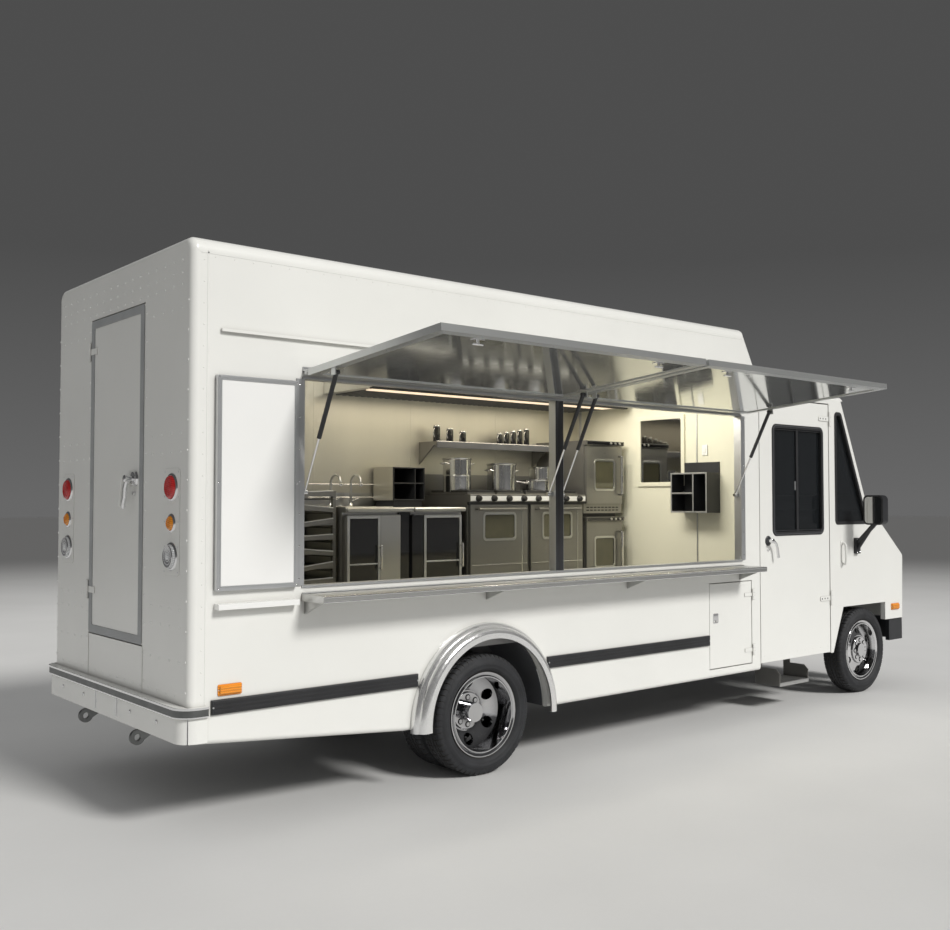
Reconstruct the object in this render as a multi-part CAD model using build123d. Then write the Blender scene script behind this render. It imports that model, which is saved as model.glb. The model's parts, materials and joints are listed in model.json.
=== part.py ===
from build123d import *

import math
import os

# Food truck: a step van with a raised kitchen body, two lifting hatches on its right side and a driver's cab.
# Modelled in the vehicle's frame, in millimetres: +X forwards from the rear wall's outer face, +Y to the left
# from the middle plane, +Z up from the ground. The finished solids are then moved so that the origin lies on
# the ground under the middle of the whole truck's box, with its hatches open as it parks for trade.

# Overall body
BODY_WIDTH = 2140.0
WALL = 50.0
ROOF_TOP = 3334.0
ROOF_EDGE = 80.0          # radius of the roof's long edges, where the side walls stop
ROOF_SHEET = 50.0
REAR_WALL_FOOT = 690.0
REAR_CORNER = 40.0        # radius round the rear face
FLOOR_TOP = 900.0
FLOOR_SLAB = 40.0
FIT = 0.3                 # gap between pieces that seat on each other
DOOR_GAP = 6.0
DOOR_EDGE = 5.0           # rounding of a door's outer edges
HALF = BODY_WIDTH / 2
INNER = HALF - WALL
WALL_TOP = ROOF_TOP - ROOF_EDGE
FLOOR_UNDER = FLOOR_TOP - FLOOR_SLAB
SIDES = (("right", -1), ("left", 1))
FAR = 9000.0              # beyond the truck on every side, for cuts

# Stations along the truck: the kitchen body from the rear wall, the cab from the front axle
REAR_AXLE_X = 2140.0
WHEELBASE = 4844.0
CAB_BACK = 1699.0         # the kitchen body ends this far behind the front axle
PARTITION_BACK = 85.0     # the partition stands this far inside the body's front edge
PARTITION_SHEET = 40.0
FRONT_AXLE_X = REAR_AXLE_X + WHEELBASE
KITCHEN_FRONT_X = FRONT_AXLE_X - CAB_BACK
PARTITION_X = KITCHEN_FRONT_X - PARTITION_BACK

# Side outline, (x, z)
SILL_REAR_Z = 505.0       # lower edge at the rear bumper
SILL_Z = 385.0            # lower edge from the rear wheel forwards
SILL_RUN = 660.0          # the overhang's lower edge reaches the sill this far behind the rear axle
SILL_ROLL = 30.0          # the lower edge rolls under
ROOF_BREAK = 223.0        # the kitchen roof ends this far behind the body's front edge and slopes down
SLOPE_FOOT = 55.0         # the slope reaches the cab roof this far ahead of that edge
CAB_ROOF_DROP = 494.0     # cab roof below the kitchen roof
CAB_SHEET = 40.0
CAB_EDGE = 38.0           # rounding of the cab's outer edges
SCREEN_TOP = 364.0        # the cab roof ends this far behind the front axle
COWL_REACH = 79.0         # foot of the windscreen ahead of the front axle
COWL_Z = 1868.0
NOSE_REACH = 778.0        # ahead of the front axle
NOSE_Z = 1311.0
NOSE_ROUND = 60.0
NOSE_RAKE = 17.0          # the nose leans back to its foot
NOSE_FOOT_Z = 673.0
SILL_LOW_X = REAR_AXLE_X - SILL_RUN
ROOF_BREAK_X = KITCHEN_FRONT_X - ROOF_BREAK
SLOPE_FOOT_X = KITCHEN_FRONT_X + SLOPE_FOOT
CAB_ROOF_Z = ROOF_TOP - CAB_ROOF_DROP
CAB_ROOF_FRONT_X = FRONT_AXLE_X - SCREEN_TOP
COWL = (FRONT_AXLE_X + COWL_REACH, COWL_Z)
NOSE_TOP = (FRONT_AXLE_X + NOSE_REACH, NOSE_Z)
NOSE_FOOT = (NOSE_TOP[0] - NOSE_RAKE, NOSE_FOOT_Z)

# Wheels
TYRE_RADIUS = 405.0
TYRE_WIDTH = 215.0
TYRE_SHOULDER = 38.0
TYRE_CREST = 9.0          # shoulder inside the widest part of the wall
RIM_RADIUS = 285.0        # outside of the rim's flange
RIM_SHEET = 12.0
RIM_RIDGE = 7.0           # second ridge inside the flange
BEAD_RADIUS = 262.0
BEAD_SEAT = 66.0          # tyre beads from the wheel's middle plane
REAR_TRACK = 1700.0       # between the planes where the twin wheels meet
FRONT_TRACK = 1915.0      # between the front wheels' middle planes
DUAL_GAP = 30.0
DISC_SHEET = 18.0
HUB_PLATE = (127.0, 16.0)     # radius and height of the raised plate that carries the nuts
LUG_COUNT = 8
LUG_CIRCLE = 92.0
LUG_RADIUS = 16.0
LUG_POCKET = (22.0, 9.0)      # radius and depth of the recess round a nut
HAND_HOLES = 6
HAND_HOLE_RADIUS = 40.0
HAND_HOLE_CIRCLE = 192.0
SPINDLE_RADIUS = 38.0
RUNNING = 0.3             # gap round a spindle or kingpin

# Rear wheel arch and its bright flare
ARCH_RADIUS = 585.0
ARCH_Z = 400.0
FLARE_RADIUS = 628.0
FLARE_LIP_RADIUS = 528.0
FLARE_LIP = 35.0          # flat band round the lip
FLARE_EDGE = 10.0         # edge that stands on the body
FLARE_GROOVE = (604.0, 62.0)  # radius and distance out of the groove between its two rounds
FLARE_BULGE = 0.16        # height of each round over its chord's length
FLARE_OUT = 102.0
FLARE_SHEET = 14.0
FLARE_DROP_DEG = 3.0

# Serving opening, hatches and counter on the right side
OPENING_REAR = 706.0
OPENING_FRONT = 255.0     # ends this far behind the body's front edge
OPENING_SILL = 1335.0
OPENING_HEAD = 744.0      # below the roof
POST_ALONG = 2094.0       # centre post from the opening's rear edge
POST_WIDE = 83.0
POST_DEPTH = 66.0
JAMB = 14.0               # lining thickness in the opening
TRIM_WIDTH = 42.0         # frame face round the opening
TRIM_OUT = 8.0
HINGE_UP = 24.0           # hinge axis above the opening
HINGE_OUT = 40.0          # hinge axis beyond the body side
BEAD = 10.0               # round bead of the hook hinge
HOOK_SHEET = 6.0
NECK = 6.0
HATCH_COVER = 21.0        # a closed hatch ends this far below the opening
HATCH_THICK = 40.0
HATCH_FACE = 15.0         # outer skin above the hinge axis when open
HATCH_RIM = 48.0
HATCH_RECESS = 8.0
HATCH_EDGE = 22.0         # panel starts this far from the hinge axis
HATCH_TILT = 5.0          # degrees above level when open
HATCH_SPLIT = 30.0        # gap between the two hatches over the post
COUNTER_OUT = 250.0
COUNTER_TOP = 1300.0
COUNTER_THICK = 42.0
COUNTER_NOSE = 12.0
COUNTER_BRACKETS = 4
BRACKET_END = 20.0        # first and last bracket from the counter's ends
BRACKET_DROP = 78.0       # brackets end above the access door's swing
BRACKET_REACH = 200.0
BRACKET_SHEET = 20.0
OPENING_X = (OPENING_REAR, KITCHEN_FRONT_X - OPENING_FRONT)
OPENING_Z = (OPENING_SILL, ROOF_TOP - OPENING_HEAD)
POST_X = (OPENING_REAR + POST_ALONG, OPENING_REAR + POST_ALONG + POST_WIDE)
HINGE_Z = OPENING_Z[1] + HINGE_UP
HATCH_REACH = HINGE_Z - OPENING_SILL + HATCH_COVER

# Gas struts
STRUT_ALONG = 270.0       # upper eye along the hatch from the hinge axis
STRUT_BELOW = 45.0        # upper eye below the hinge axis, square to the hatch
STRUT_INSIDE = 35.0       # lower eye inside the body side
STRUT_DROP = 714.0        # lower eye below the hinge axis
STRUT_STROKE = 330.0
STRUT_BARREL = 14.0
STRUT_ROD = 6.0
STRUT_IN = 26.0           # strut plane inside the jamb or post
EYE_RADIUS = 13.0
EYE_WIDTH = 32.0
EYE_PLATE = 8.0           # lug on the hatch beside an eye
EYE_LUG = 20.0            # half the lug's width
EYE_BLOCK = 16.0          # half the block on the jamb beside an eye
STRUT_FOOT = (STRUT_INSIDE, HINGE_Z - STRUT_DROP)

# Doors
REAR_DOOR_WIDTH = 875.0
REAR_DOOR_FOOT = 985.0
REAR_DOOR_HEAD = 292.0    # below the roof
REAR_DOOR_THICK = 45.0
CAB_DOOR_REAR = 10.0      # rear edge ahead of the kitchen body
CAB_DOOR_FRONT = 595.0    # front edge behind the front axle
CAB_DOOR_FOOT = 440.0
CAB_DOOR_HEAD = 85.0      # below the cab roof
CAB_WINDOW_REAR = 205.0   # from the door's edges
CAB_WINDOW_FRONT = 114.0
CAB_WINDOW_HEAD = 239.0
CAB_WINDOW_SILL = 1560.0
WINDOW_CORNER = 45.0
GLASS = 6.0
ACCESS_LENGTH = 590.0
ACCESS_FRONT = 119.0      # front edge behind the body's front edge
ACCESS_Z = (455.0, 1168.0)
HINGE_PIN = 9.0
HINGE_PROUD = 10.0        # door hinge axes beyond the body's face
REAR_DOOR_Z = (REAR_DOOR_FOOT, ROOF_TOP - REAR_DOOR_HEAD)
CAB_DOOR_X = (KITCHEN_FRONT_X + CAB_DOOR_REAR, FRONT_AXLE_X - CAB_DOOR_FRONT)
CAB_DOOR_Z = (CAB_DOOR_FOOT, CAB_ROOF_Z - CAB_DOOR_HEAD)
CAB_WINDOW_X = (CAB_DOOR_X[0] + CAB_WINDOW_REAR, CAB_DOOR_X[1] - CAB_WINDOW_FRONT)
CAB_WINDOW_Z = (CAB_WINDOW_SILL, CAB_DOOR_Z[1] - CAB_WINDOW_HEAD)
ACCESS_X = (KITCHEN_FRONT_X - ACCESS_FRONT - ACCESS_LENGTH, KITCHEN_FRONT_X - ACCESS_FRONT)

# Front wheel arch
ARCH_FRONT = 401.0        # front edge ahead of the axle
ARCH_REAR = 364.0         # its top ends this far behind the axle
ARCH_FLANGE = 51.0        # its foot ends this far ahead of the cab door
ARCH_TOP_Z = 847.0
ARCH_FOOT_Z = 432.0
FRONT_ARCH = (
    (FRONT_AXLE_X + ARCH_FRONT, ARCH_TOP_Z),
    (FRONT_AXLE_X - ARCH_REAR, ARCH_TOP_Z),
    (CAB_DOOR_X[1] + ARCH_FLANGE, ARCH_FOOT_Z),
)

# Chassis
RAIL_Y = 420.0
RAIL_WIDTH = 60.0
RAIL_Z = (600.0, 800.0)
RAIL_SHEET = 10.0
RAIL_SHORT = 105.0        # rails end behind the nose
CROSS_REAR = 120.0        # cross members: the first from the rear wall
CROSS_MIDDLE = (-840.0, 760.0, 2160.0)    # from the rear axle
CROSS_CAB = (-1484.0, 266.0)              # from the front axle
CROSS_HEIGHT = 90.0
CROSS_LENGTH = 70.0
SPRING_Y = 520.0
SPRING_WIDTH = 70.0
LEAF = 14.0
LEAVES = 4
LEAF_STEP = 0.18          # each leaf is shorter than the main leaf by this share
SPRING_SPAN = 1300.0
SPRING_RISE = 110.0
SPRING_EYE = 24.0
HANGER = (35.0, 10.0, 30.0, 40.0)     # half length, sheet, below the eye, above the rail's foot
KINGPIN_Y = 800.0
KINGPIN_RADIUS = 18.0
KNUCKLE_RADIUS = 40.0
RAIL_FRONT_X = NOSE_FOOT[0] - RAIL_SHORT
CROSS_X = (CROSS_REAR, *[REAR_AXLE_X + x for x in CROSS_MIDDLE], *[FRONT_AXLE_X + x for x in CROSS_CAB])


def block(x, y, z):
    """A box from (low, high) pairs along the three axes."""
    lows = [min(v) for v in (x, y, z)]
    sizes = [abs(v[1] - v[0]) for v in (x, y, z)]
    return Pos(*lows) * Box(*sizes, align=(Align.MIN, Align.MIN, Align.MIN))


def side_plane(y):
    """Sketch plane seen from the right: local x along X, local y along Z, normal towards -Y."""
    return Plane((0, y, 0), x_dir=(1, 0, 0), z_dir=(0, -1, 0))


def end_plane(x):
    """Sketch plane seen from ahead: local x along Y, local y along Z, normal towards +X."""
    return Plane((x, 0, 0), x_dir=(0, 1, 0), z_dir=(1, 0, 0))


def side_plate(points, y, rounds=()):
    """A plate with an outline of (x, z) points between two y values; rounds lists (point, radius)."""
    face = make_face(Polyline(*points, close=True))
    for point, radius in rounds:
        corner = face.vertices().sort_by_distance((*point, 0))[0]
        face = fillet(corner, radius)
    return extrude(side_plane(max(y)) * face, abs(y[1] - y[0]))


def end_plate(points, x):
    """A plate with an outline of (y, z) points between two x values."""
    face = make_face(Polyline(*points, close=True))
    return extrude(end_plane(min(x)) * face, abs(x[1] - x[0]))


def side_window(x, z, y, corner):
    """A rounded rectangle in the side view, from (low, high) pairs, between two y values."""
    middle = Pos((x[0] + x[1]) / 2, (z[0] + z[1]) / 2)
    face = middle * RectangleRounded(x[1] - x[0], z[1] - z[0], corner)
    return extrude(side_plane(max(y)) * face, abs(y[1] - y[0]))


def rod(start, end, radius):
    """A round bar between two points."""
    a, b = Vector(*start), Vector(*end)
    return extrude(Plane(a, z_dir=(b - a).normalized()) * Circle(radius), (b - a).length)


def mirrored(shape):
    """The same piece on the other side of the middle plane."""
    return mirror(shape, about=Plane.XZ)


def both_sides(shape):
    """A piece and its mirror image as two solids."""
    return Compound(children=[shape, mirrored(shape)])


def offset_inside(points, distance):
    """An open outline of (x, z) points moved to its right by a distance, corners kept."""
    moved = []
    normals = []
    for a, b in zip(points, points[1:]):
        length = math.dist(a, b)
        normals.append(((b[1] - a[1]) / length, -(b[0] - a[0]) / length))
    for i, p in enumerate(points):
        before = normals[max(i - 1, 0)]
        after = normals[min(i, len(normals) - 1)]
        share = 1 + before[0] * after[0] + before[1] * after[1]
        moved.append((p[0] + distance * (before[0] + after[0]) / share,
                      p[1] + distance * (before[1] + after[1]) / share))
    return moved


def on_line(a, b, z):
    """The x of the line through two (x, z) points at a height."""
    return a[0] + (b[0] - a[0]) * (z - a[1]) / (b[1] - a[1])


# Walls, roof and floor of the kitchen body
def roof_outline(inset):
    """Rounded top of the body's cross section as an open wire of (y, z), a wall inside the outer skin."""
    radius = ROOF_EDGE - inset
    y = HALF - ROOF_EDGE
    top = ROOF_TOP - inset
    turn = radius * math.sqrt(0.5)
    centre = ROOF_TOP - ROOF_EDGE
    return [
        ThreePointArc((-y - radius, centre), (-y - turn, centre + turn), (-y, top)),
        Line((-y, top), (y, top)),
        ThreePointArc((y, top), (y + turn, centre + turn), (y + radius, centre)),
    ]


def make_roof():
    outer = roof_outline(0)
    inner = roof_outline(ROOF_SHEET)
    ends = [Line(outer[0] @ 0, inner[0] @ 0), Line(outer[2] @ 1, inner[2] @ 1)]
    face = make_face(outer + inner + ends)
    return extrude(end_plane(WALL) * face, ROOF_BREAK_X - WALL)


def slope_under(x):
    """Height of the underside of the panel that slopes from the kitchen roof to the cab roof."""
    slope = math.atan2(ROOF_TOP - CAB_ROOF_Z, SLOPE_FOOT_X - ROOF_BREAK_X)
    return ROOF_TOP - (x - ROOF_BREAK_X) * math.tan(slope) - CAB_SHEET / math.cos(slope)


def wall_outline():
    """Side wall outline, (x, z), from the rear sill round to the roof."""
    return [
        (WALL, SILL_REAR_Z), (SILL_LOW_X, SILL_Z), (KITCHEN_FRONT_X, SILL_Z),
        (KITCHEN_FRONT_X, slope_under(KITCHEN_FRONT_X)), (ROOF_BREAK_X, slope_under(ROOF_BREAK_X)),
        (ROOF_BREAK_X, WALL_TOP), (WALL, WALL_TOP),
    ]


DRIP_REAR = 175.0
DRIP_FRONT = 285.0        # ends this far behind the body's front edge
DRIP_DROP = 512.0         # below the roof
DRIP_OUT = 22.0
DRIP_HEIGHT = 16.0


def make_side_wall(side):
    skin = sorted((side * HALF, side * INNER))
    wall = side_plate(wall_outline(), skin)
    low = [edge for edge in wall.edges() if edge.center().Z < SILL_REAR_Z and abs(edge.center().Y) > HALF - FIT]
    wall = fillet(low, SILL_ROLL)
    outside = (side * (HALF + 1), side * (INNER - 1))
    wall -= Pos(REAR_AXLE_X, 0, ARCH_Z) * Rot(90, 0, 0) * Cylinder(ARCH_RADIUS, BODY_WIDTH + 2)
    lip = side * HALF
    drip = ROOF_TOP - DRIP_DROP
    drip_x = (DRIP_REAR, KITCHEN_FRONT_X - DRIP_FRONT)
    wall += block(drip_x, (lip, lip + side * DRIP_OUT), (drip - DRIP_HEIGHT, drip))
    if side < 0:
        wall -= block(OPENING_X, outside, OPENING_Z)
        wall -= block(ACCESS_X, outside, ACCESS_Z)
        for mid in ACCESS_HINGE_Z:
            for half in side_hinge(ACCESS_HINGE_X, mid, ACCESS_HINGE_LENGTH)[1]:
                wall += half
    return wall


def make_rear_wall():
    top = roof_outline(0)
    left, right, foot = (HALF, WALL_TOP), (-HALF, WALL_TOP), REAR_WALL_FOOT
    rest = [Line(left, (HALF, foot)), Line((HALF, foot), (-HALF, foot)), Line((-HALF, foot), right)]
    wall = extrude(end_plane(0) * make_face(top + rest), WALL)
    rim = [edge for edge in wall.faces().sort_by(Axis.X)[0].edges() if edge.center().Z > foot + FIT]
    wall = fillet(rim, REAR_CORNER)
    half = REAR_DOOR_WIDTH / 2
    wall -= block((-1, WALL + 1), (-half, half), REAR_DOOR_Z)
    for mid in REAR_HINGE_Z:
        for fixed in rear_hinge(mid)[1]:
            wall += fixed
    return wall


STEP_WELL_REAR = 15.0     # from the cab door's edges
STEP_WELL_FRONT = 109.0
STEP_WELL_Y = 640.0
STEP_WELL_X = (CAB_DOOR_X[0] + STEP_WELL_REAR, CAB_DOOR_X[1] - STEP_WELL_FRONT)
ENGINE_BACK = 654.0       # behind the front axle
ENGINE_LENGTH = 730.0
ENGINE_X = (FRONT_AXLE_X - ENGINE_BACK, FRONT_AXLE_X - ENGINE_BACK + ENGINE_LENGTH)
ENGINE_HALF = 290.0
ENGINE_Z = (470.0, 1130.0)
COVER_SHEET = 25.0
COVER_GAP = 30.0
JOIST = 60.0
FLOOR_PAST = 40.0         # floor ahead of the engine
FLOOR_FRONT_X = ENGINE_X[1] + FLOOR_PAST


def make_floor():
    floor = block((WALL, FLOOR_FRONT_X), (-INNER, INNER), (FLOOR_UNDER, FLOOR_TOP))
    for _, side in SIDES:
        floor -= block(STEP_WELL_X, (side * STEP_WELL_Y, side * (INNER + 1)), (FLOOR_UNDER - 1, FLOOR_TOP + 1))
    hole = (ENGINE_X[0] - COVER_GAP, ENGINE_X[1] + COVER_GAP)
    reach = ENGINE_HALF + COVER_GAP
    floor -= block(hole, (-reach, reach), (FLOOR_UNDER - 1, FLOOR_TOP + 1))
    for x in CROSS_X[:-1]:
        half = RAIL_Y + RAIL_WIDTH / 2
        floor += block((x - JOIST / 2, x + JOIST / 2), (-half, half), (RAIL_Z[1], FLOOR_UNDER))
    return floor


def make_partition():
    front = PARTITION_X + PARTITION_SHEET
    top = slope_under(front) - FIT
    return block((PARTITION_X, front), (-INNER + FIT, INNER - FIT), (FLOOR_TOP, top))


# Cab
def cab_profile():
    """Outer (x, z) line of the windscreen, bonnet and nose, from the roof down."""
    top_z = CAB_ROOF_Z - CAB_SHEET
    return [(on_line((CAB_ROOF_FRONT_X, CAB_ROOF_Z), COWL, top_z), top_z), COWL, NOSE_TOP, NOSE_FOOT]


def make_cab_roof():
    outer = [(ROOF_BREAK_X, ROOF_TOP), (SLOPE_FOOT_X, CAB_ROOF_Z), (CAB_ROOF_FRONT_X, CAB_ROOF_Z)]
    inner = offset_inside(outer, CAB_SHEET)
    front = cab_profile()[0]
    points = outer + [front, inner[1], (ROOF_BREAK_X, slope_under(ROOF_BREAK_X))]
    panel = side_plate(points, (-HALF, HALF))
    tops = [(a[1] + b[1]) / 2 for a, b in zip(outer, outer[1:])]
    sides = [edge for edge in panel.edges() if abs(edge.center().Y) > HALF - FIT
             and min(abs(edge.center().Z - z) for z in tops) < FIT and edge.length > CAB_SHEET * 3]
    panel = fillet(sides, CAB_EDGE)
    rest = [Line((HALF, WALL_TOP), (HALF, 0)), Line((HALF, 0), (-HALF, 0)), Line((-HALF, 0), (-HALF, WALL_TOP))]
    section = make_face(roof_outline(0) + rest)
    return panel & extrude(end_plane(0) * section, FAR)


def on_profile(point):
    """True for a point near the windscreen, bonnet or nose line."""
    outer = cab_profile()
    for a, b in zip(outer, outer[1:]):
        length = math.dist(a, b)
        along = ((b[0] - a[0]) / length, (b[1] - a[1]) / length)
        step = (point.X - a[0], point.Z - a[1])
        run = step[0] * along[0] + step[1] * along[1]
        away = abs(step[0] * along[1] - step[1] * along[0])
        if away < NOSE_ROUND / 2 and 0 < run < length:
            return True
    return False


PILLAR = 100.0
QUARTER_BACK = 118.0      # ahead of the cab door
QUARTER_LOW = 228.0       # below the windscreen's foot
QUARTER_HEAD = 160.0      # below the cab roof
QUARTER_X = CAB_DOOR_X[1] + QUARTER_BACK
QUARTER_Z = (COWL_Z - QUARTER_LOW, CAB_ROOF_Z - QUARTER_HEAD)
QUARTER_CORNER = 40.0
FRAME_GAP = 4.0           # the cab's door frame beyond the door's own gap


def quarter_face():
    """Outline of the window ahead of the cab door, in the side view."""
    top, cowl = cab_profile()[:2]
    low, high = QUARTER_Z
    front = [(on_line(top, cowl, z) - PILLAR, z) for z in QUARTER_Z]
    points = [(QUARTER_X, low), *front, (QUARTER_X, high)]
    face = make_face(Polyline(*points, close=True))
    return fillet(face.vertices(), QUARTER_CORNER)


def make_cab_side():
    """The right side of the cab: a rail over the door, the pillars, the wing and its wheel arch."""
    y = (-HALF, -INNER)
    top = cab_profile()[0][1]
    door_top = CAB_DOOR_Z[1] + DOOR_GAP + FRAME_GAP
    post_x = CAB_DOOR_X[1] + DOOR_GAP + FRAME_GAP
    foot = FRONT_ARCH[-1][1]
    outline = cab_profile() + [(FRONT_ARCH[0][0], NOSE_FOOT[1])] + list(FRONT_ARCH)
    rear = KITCHEN_FRONT_X + FIT
    outline += [(post_x, foot), (post_x, door_top), (rear, door_top), (rear, top)]
    panel = side_plate(outline, y, [(NOSE_TOP, NOSE_ROUND)])
    skin = panel.faces().sort_by(Axis.Y)[0]
    panel = fillet([edge for edge in skin.edges() if on_profile(edge.center())], CAB_EDGE)
    panel -= extrude(side_plane(-INNER + 1) * quarter_face(), WALL + 2)
    for mid in CAB_HINGE_Z:
        for half in side_hinge(CAB_HINGE_X, mid, CAB_HINGE_LENGTH)[1]:
            panel += half
    return panel


SCREEN_MARGIN = (75.0, 60.0)      # from the pillars, and from the roof and cowl
SCREEN_POST = 60.0
SCREEN_CORNER = 45.0


def screen_plane():
    """Sketch plane on the outer face of the windscreen panel, local y up the slope."""
    top, cowl = cab_profile()[:2]
    length = math.dist(top, cowl)
    normal = ((top[1] - cowl[1]) / length, 0, (cowl[0] - top[0]) / length)
    middle = ((top[0] + cowl[0]) / 2, 0, (top[1] + cowl[1]) / 2)
    return Plane(middle, x_dir=(0, 1, 0), z_dir=normal), length


def screen_pane(shrink):
    """One half of the split windscreen, on the left, as a face in its own plane."""
    _, length = screen_plane()
    wide = INNER - SCREEN_MARGIN[0] - SCREEN_POST / 2
    high = length - 2 * SCREEN_MARGIN[1]
    middle = Pos(SCREEN_POST / 2 + wide / 2, 0)
    return middle * RectangleRounded(wide - 2 * shrink, high - 2 * shrink, SCREEN_CORNER - shrink)


GRILLE_HALF = 520.0
GRILLE_Z = (790.0, 1130.0)
GRILLE_BARS = 6
GRILLE_BAR = 22.0
GRILLE_DEPTH = 30.0


def make_cab_front():
    outer = cab_profile()
    inner = offset_inside(outer, CAB_SHEET)
    inner[0] = (on_line(inner[0], inner[1], outer[0][1]), outer[0][1])
    panel = side_plate(outer + inner[::-1], (-INNER + FIT, INNER - FIT), [(NOSE_TOP, NOSE_ROUND)])
    plane, _ = screen_plane()
    hole = extrude(plane.offset(1) * screen_pane(0), -CAB_SHEET - 2)
    panel -= hole
    panel -= mirrored(hole)
    panel -= block((NOSE_FOOT[0] - 3 * CAB_SHEET, NOSE_TOP[0] + 1), (-GRILLE_HALF, GRILLE_HALF), GRILLE_Z)
    return panel


def nose_x(z):
    """Outer face of the nose at a height."""
    return on_line(NOSE_TOP, NOSE_FOOT, z)


def make_grille():
    """A rim with level bars, set in the nose."""
    z = (GRILLE_Z[0] + FIT, GRILLE_Z[1] - FIT)
    half = GRILLE_HALF - FIT
    back = nose_x(z[0]) - GRILLE_DEPTH
    x = (back, back + GRILLE_DEPTH)
    rim = block(x, (-half, half), z) - block((x[0] - 1, x[1] + 1), (-half + GRILLE_BAR, half - GRILLE_BAR),
                                            (z[0] + GRILLE_BAR, z[1] - GRILLE_BAR))
    pitch = (z[1] - z[0] - GRILLE_BAR) / (GRILLE_BARS + 1)
    for i in range(1, GRILLE_BARS + 1):
        low = z[0] + i * pitch
        rim += block((x[0] + 4, x[1] - 4), (-half + 1, half - 1), (low, low + GRILLE_BAR))
    return rim


def make_fixed_glass():
    plane, _ = screen_plane()
    depth = (CAB_SHEET + GLASS) / 2
    screen = extrude(plane.offset(-depth) * screen_pane(FIT), GLASS)
    face = offset(quarter_face(), -FIT)
    quarter = extrude(side_plane(-INNER - (WALL - GLASS) / 2) * face, GLASS)
    looking = block((PARTITION_X - LOOK_SHEET - FIT, PARTITION_X - FIT), LOOK_Y, LOOK_Z)
    return Compound(children=[screen, mirrored(screen), quarter, mirrored(quarter), looking])


LOOK_Y = (-300.0, 200.0)          # framed pane on the partition
LOOK_Z = (2021.0, 2620.0)
LOOK_SHEET = 8.0


# Doors
def knuckles(x, y, mid, length):
    """Three knuckles of a hinge on one upright axis: the door's in the middle, the body's above and below."""
    third = length / 6
    moving = (mid - third, mid + third)
    fixed = ((mid - length / 2, moving[0] - FIT), (moving[1] + FIT, mid + length / 2))
    return [rod((x, y, z[0]), (x, y, z[1]), HINGE_PIN) for z in (moving, *fixed)], (moving, *fixed)


def side_hinge(x, mid, length):
    """Hinge on the right side's face: the leaf towards the door behind it, and the leaf on the body ahead."""
    rods, spans = knuckles(x, -HALF - HINGE_PROUD, mid, length)
    y = (-HALF - HINGE_LEAF, -HALF)
    moving = rods[0] + block((x - HINGE_REACH, x), y, spans[0])
    fixed = [rods[i] + block((x, x + HINGE_FOOT), y, spans[i]) for i in (1, 2)]
    return moving, fixed


def rear_hinge(mid):
    """Hinge on the rear wall's face: the door's leaf to the right, the wall's to the left."""
    rods, spans = knuckles(-HINGE_PROUD, REAR_HINGE_Y, mid, REAR_HINGE_LENGTH)
    x = (-HINGE_LEAF, 0)
    moving = rods[0] + block(x, (REAR_HINGE_Y - HINGE_REACH, REAR_HINGE_Y), spans[0])
    fixed = [rods[i] + block(x, (REAR_HINGE_Y, REAR_HINGE_Y + HINGE_FOOT), spans[i]) for i in (1, 2)]
    return moving, fixed


CAB_HINGE_IN = (504.0, 136.0)     # hinges from the door's lower and upper edges
CAB_HINGE_Z = (CAB_DOOR_Z[0] + CAB_HINGE_IN[0], CAB_DOOR_Z[1] - CAB_HINGE_IN[1])
CAB_HINGE_LENGTH = 130.0
CAB_HINGE_X = CAB_DOOR_X[1] + (DOOR_GAP + FRAME_GAP) / 2
HINGE_LEAF = 6.0
HINGE_REACH = 110.0
HINGE_FOOT = 45.0


def make_cab_door():
    """Right cab door, hinged at its front edge, with its window cut."""
    x = CAB_DOOR_X
    z = CAB_DOOR_Z
    leaf = block(x, (-HALF, -INNER), z)
    leaf = fillet(leaf.faces().sort_by(Axis.Y)[0].edges(), DOOR_EDGE)
    leaf -= side_window(CAB_WINDOW_X, CAB_WINDOW_Z, (-HALF - 1, -INNER + 1), WINDOW_CORNER)
    for mid in CAB_HINGE_Z:
        leaf += side_hinge(CAB_HINGE_X, mid, CAB_HINGE_LENGTH)[0]
    return leaf


def make_cab_glass():
    x = (CAB_WINDOW_X[0] + FIT, CAB_WINDOW_X[1] - FIT)
    z = (CAB_WINDOW_Z[0] + FIT, CAB_WINDOW_Z[1] - FIT)
    y = -INNER - (WALL - GLASS) / 2
    return side_window(x, z, (y - GLASS, y), WINDOW_CORNER - FIT)


REAR_HINGE_IN = (286.0, 210.0)    # hinges from the door's lower and upper edges
REAR_HINGE_Z = (REAR_DOOR_Z[0] + REAR_HINGE_IN[0], REAR_DOOR_Z[1] - REAR_HINGE_IN[1])
REAR_HINGE_LENGTH = 120.0
REAR_HINGE_OUT = 4.0              # hinge axis beyond the door's opening
REAR_HINGE_Y = REAR_DOOR_WIDTH / 2 + REAR_HINGE_OUT


def make_rear_door():
    half = REAR_DOOR_WIDTH / 2 - DOOR_GAP
    z = (REAR_DOOR_Z[0] + DOOR_GAP, REAR_DOOR_Z[1] - DOOR_GAP)
    leaf = block((0, REAR_DOOR_THICK), (-half, half), z)
    leaf = fillet(leaf.faces().sort_by(Axis.X)[0].edges(), DOOR_EDGE)
    for mid in REAR_HINGE_Z:
        leaf += rear_hinge(mid)[0]
    return leaf + make_rear_handle()


HANDLE_Y = -242.0
HANDLE_Z = 1985.0
HANDLE_ROSE = (38.0, 18.0)        # radius, and how far it stands out
HANDLE_NECK = (15.0, 60.0)
LEVER_RADIUS = 11.0
LEVER_OUT = 52.0
LEVER_TOP = 8.0
LEVER_REACH = (45.0, 165.0)       # its end, sideways and down


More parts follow.
